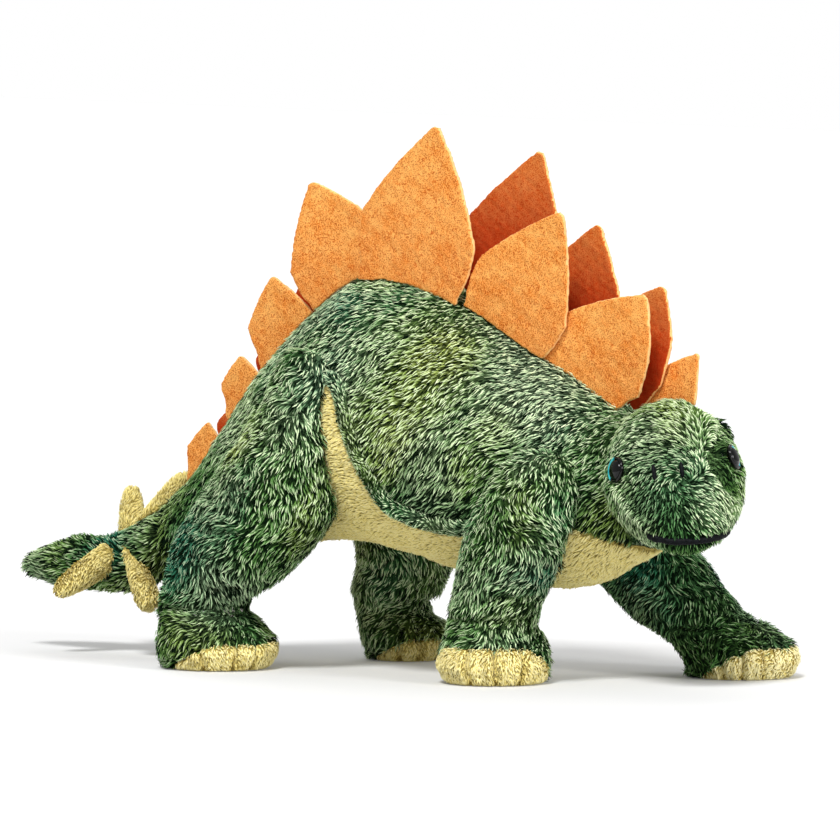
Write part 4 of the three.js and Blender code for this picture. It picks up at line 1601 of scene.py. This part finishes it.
        # Its profile, as millimetres from its axis and above its flat back
        outer = self.eye_radius / MM
        shank = [(0.0, -12.0), (2.0, -12.0), (2.0, -1.0), (outer - 0.5, -1.0), (outer, -0.4)]
        rim = self.eye_rim / MM
        ring = [
            (outer - rim / 2 * (1 - math.cos(a)), 0.3 + 0.7 * math.sin(a))
            for a in np.linspace(0, math.pi, 9)
        ]
        dome = [
            ((outer - rim) * math.cos(a), 0.3 + (self.dome_height / MM - 0.9) * math.sin(a))
            for a in np.linspace(0.1, math.pi / 2, 14)
        ]
        way = self.eye_way(side)
        seat = self.eye_place(side)
        mesh = bpy.data.meshes.new(name)
        with edited(mesh) as turned:
            verts = [turned.verts.new((r * MM, 0, h * MM)) for r, h in [*shank, *ring, *dome]]
            verts[-1].co.x = 0
            edges = [turned.edges.new(pair) for pair in zip(verts[:-1], verts[1:])]
            bmesh.ops.spin(
                turned, geom=[*verts, *edges], axis=(0, 0, 1), cent=(0, 0, 0),
                steps=48, angle=2 * math.pi, use_merge=True,
            )
            bmesh.ops.remove_doubles(turned, verts=turned.verts, dist=0.01 * MM)
            bmesh.ops.recalc_face_normals(turned, faces=turned.faces)
            place = Matrix.Translation(seat) @ way.to_track_quat("Z", "Y").to_matrix().to_4x4()
            bmesh.ops.transform(turned, matrix=place, verts=turned.verts)
            for face in turned.faces:
                face.smooth = True
                offset = face.calc_center_median() - seat
                out = (offset - way * offset.dot(way)).length / MM
                backwards = -offset.dot(self.forward) / MM
                if out > outer - rim and offset.dot(way) > -0.5 * MM and backwards > 1.5:
                    face.material_index = 1
        eye = new_piece(f"{name}_button", mesh, BLACK_DOME.material, TEAL_RING.material)
        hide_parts(name)
        self.firm_body.carry(BLACK_DOME, eye)
        NODES[f"{name}_washer"].data.materials[0] = WHITE_WASHER.material

    def mouth_line(self) -> Array:
        """Return the middle line of the mouth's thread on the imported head."""
        start = self.at(*self.mouth_from)
        face = surface("head_skin")
        points = []
        for along in np.linspace(-1, 1, 25):
            turned = Matrix.Rotation(self.mouth_turn + along * self.mouth_half, 3, self.up)
            way = turned @ self.forward
            lift = 3.2 * max(0.0, -along) ** 2 - 1.8 * math.cos(math.pi * along / 2)
            inside = start + self.up * (lift * MM)
            points.append(np.array(face.ray_cast(inside + way * 0.1, -way)[0] - way * 0.2 * MM))
        return np.array(points)

    def build_mouth(self, line: Array) -> None:
        """Make the mouth: one thick satin stitch of black thread."""
        mesh = tube(resampled(line, 0.5 * MM), self.thread_radius, 16)
        places, normals = places_of(mesh), normals_of(mesh)
        wound = np.sin(places @ (np.array(self.left) * 5.2 + np.array(self.up) * 2.4) / MM)
        uneven = 0.16 * MM * wound + 0.25 * MM * wavering(places, 5 * MM, Field.THREAD)
        move_to(mesh, places + normals * uneven[:, None])
        mouth = new_piece("mouth_thread", mesh, BLACK_THREAD.material)
        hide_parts("mouth_stitch")
        self.firm_body.carry(BLACK_THREAD, mouth)

    def nostril_line(self, side: Side) -> Array:
        """Return the middle line of a nostril's stitch, a little longer than its CAD one."""
        low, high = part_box(f"{side.name.lower()}_nostril_stitch")
        centre = (low + high) / 2 - self.forward * (0.6 * MM) - self.left * (2 * MM)
        reach = self.up * ((high.z - low.z) / 2 + 0.8 * MM)
        ends = np.array([centre + reach - self.forward * (2.2 * MM), centre, centre - reach])
        return self.shaped(ends)

    def build_nostril(self, side: Side) -> None:
        """Make one nostril: a short upright satin stitch."""
        node = f"{side.name.lower()}_nostril_stitch"
        mesh = tube(resampled(self.nostril_line(side), 0.8 * MM), self.nostril_radius, 12)
        nostril = new_piece(node.replace("stitch", "thread"), mesh, BLACK_THREAD.material)
        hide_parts(node)
        self.firm_body.carry(BLACK_THREAD, nostril)


@dataclass(frozen=True)
class Fit:
    """How a felt plate is set a little otherwise than its solid."""

    foot_narrowed: float = 0.0  # at its front edge
    back: float = 0.0
    up: float = 0.0


FITS = {
    "right_plate_7": Fit(foot_narrowed=9 * MM, back=5 * MM, up=1 * MM),
    "left_plate_7": Fit(foot_narrowed=12 * MM),
    "left_plate_8": Fit(back=3 * MM),
}


@dataclass(frozen=True)
class BackPlates:
    """The two rows of felt plates along the back."""

    body: Body = Body("torso")
    rows: tuple[tuple[Side, int], ...] = ((Side.RIGHT, 7), (Side.LEFT, 8))
    foremost: str = "left_plate_8"  # nothing stands before it to shade it, so it gets only the near row's slight painted shade
    bow: float = 1.7 * MM  # how far the felt bows out of flat
    voxel: float = 0.9 * MM
    edge_highlight_tone: float = -0.7

    def build(self) -> None:
        """Make every plate."""
        for side, count in self.rows:
            for number in range(1, count + 1):
                self.build_plate(f"{side.name.lower()}_plate_{number}", side is Side.LEFT)

    def build_plate(self, node: str, far: bool) -> None:
        """Make one plate: soft edges, a gentle bow and a slightly uneven face.

        Args:
            node: the CAD plate.
            far: whether it stands in the row behind.
        """
        mesh = even_mesh(node, self.voxel, 2)
        places = places_of(mesh)
        low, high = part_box(node)
        height = share(places[:, 2] - low.z, high.z - low.z)
        forwards = share(places[:, 0] - low.x, high.x - low.x)
        fit = FITS.get(node, Fit())
        places[:, 0] -= fit.foot_narrowed * forwards * np.clip(1 - height / 0.6, 0, 1) ** 1.3 + fit.back
        places[:, 2] += fit.up
        flat = places * np.array([1, 0, 1])
        bow = wavering(flat, 60 * MM, Field.FELT_BOW + far)
        places[:, 1] += self.bow * np.clip(height - 0.35, 0, 1) * bow
        uneven = 0.14 * MM * wavering(places, 3 * MM, Field.FELT_FACE)
        places += normals_of(mesh) * uneven[:, None]
        move_to(mesh, places)
        # Painted shade: the felt is deeper towards its seam, and far more so in the row behind, which the
        # near row shades
        if far and node != self.foremost:
            tones = np.clip(0.42 + 0.8 * (1 - height) ** 0.8, 0, 0.92)
        else:
            tones = 0.22 * (1 - height) ** 1.3
        facing = normals_of(mesh)[:, 1]
        tones[facing > 0] *= 0.25  # the outer face isn't shut in, so it gets a quarter of the painted shade
        # painted highlight along the plate's edges
        tones[np.abs(facing) < 0.65] = self.edge_highlight_tone
        colour_points(mesh, tones, np.zeros((len(places), len(Dye))))
        plate = new_piece(f"{node}_felt", mesh, ORANGE_FELT.material)
        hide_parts(node)
        self.body.carry(ORANGE_FELT, plate)


# The studio


@dataclass(frozen=True)
class Lamp:
    """A soft lamp far off."""

    name: str
    left: float  # degrees to the camera's left
    height: float  # degrees above the floor
    strength: float  # as a sun's
    softness: float  # degrees that it spans

    def build(self) -> None:
        """Make the lamp."""
        data = bpy.data.lights.new(self.name, "SUN")
        data.energy = self.strength
        data.angle = math.radians(self.softness)
        way = towards(CAMERA_AZIMUTH - math.radians(self.left), math.radians(self.height))
        linked(self.name, data).rotation_euler = way.to_track_quat("Z", "Y").to_euler()


@dataclass(frozen=True)
class Studio:
    """A white table and backdrop, soft daylight lamps and the photograph's camera."""

    field_width: float = 0.42
    distance: float = 11.0
    aim: Place = (0.01155, 0.0084, 0.1240)
    floor_half: float = 4.0
    floor_glow: float = 0.08
    sky_light: float = 0.42
    lamps: tuple[Lamp, ...] = (
        Lamp("key", 16, 54, 2.7, 14),
        Lamp("fill", -45, 22, 1.6, 20),
        Lamp("back", 170, 50, 0.8, 40),
    )

    def build(self) -> None:
        """Make the camera, the lamps, the floor and the world."""
        self.build_camera()
        for lamp in self.lamps:
            lamp.build()
        self.build_floor()
        self.build_world()
        bpy.context.scene.view_settings.view_transform = "Standard"

    def build_camera(self) -> None:
        """Make the camera, far off with a long lens as a studio shot has."""
        data = bpy.data.cameras.new("camera")
        data.sensor_width = 36.0
        data.lens = data.sensor_width * self.distance / self.field_width
        data.clip_end = 100.0
        camera = linked("camera", data)
        back = towards(CAMERA_AZIMUTH, CAMERA_ELEVATION)
        camera.location = Vector(self.aim) + back * self.distance
        camera.rotation_euler = (-back).to_track_quat("-Z", "Y").to_euler()
        bpy.context.scene.camera = camera

    def build_floor(self) -> None:
        """Make the floor: white paper that keeps the toy's shadow."""
        mesh = bpy.data.meshes.new("floor")
        with edited(mesh) as sheet:
            bmesh.ops.create_grid(sheet, x_segments=1, y_segments=1, size=self.floor_half)
        material, shader = new_material("matt_white_paper", roughness=0.9)
        tree = material.node_tree
        seen = any_ray(tree, "Is Camera Ray", "Is Glossy Ray")
        glow = add_node(tree, "Math", {"operation": "MULTIPLY"}, {1: self.floor_glow}, {0: seen})
        shader.inputs["Base Color"].default_value = linear("#D8D8D8")
        shader.inputs["Emission Color"].default_value = (1, 1, 1, 1)
        tree.links.new(glow.outputs[0], shader.inputs["Emission Strength"])
        floor = new_piece("floor", mesh, material)

    def build_world(self) -> None:
        """Make the world: soft white light, and plain white behind the toy."""
        world = bpy.data.worlds.new("studio")
        bpy.context.scene.world = world
        world.use_nodes = True
        tree = world.node_tree
        tree.nodes.clear()
        seen = any_ray(tree, "Is Camera Ray", "Is Transmission Ray")
        links = {0: seen}
        for number, strength in ((1, self.sky_light), (2, 1.0)):
            values = {"Color": (1, 1, 1, 1), "Strength": strength}
            links[number] = add_node(tree, "Background", values=values).outputs[0]
        mix = add_node(tree, "MixShader", links=links)
        add_node(tree, "OutputWorld", links={"Surface": mix.outputs[0]})


def note_size() -> None:
    """Bring the scene's placings up to date."""
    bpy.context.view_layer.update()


def main() -> None:
    """Build the studio, then every sub-assembly of the toy."""
    logging.basicConfig(level=logging.INFO, format="%(name)s: %(message)s")
    Studio().build()
    for part in (Torso(), *LEGS, Tail(), Head(), BackPlates()):
        part.build()
    note_size()


if __name__ == "__main__":
    main()
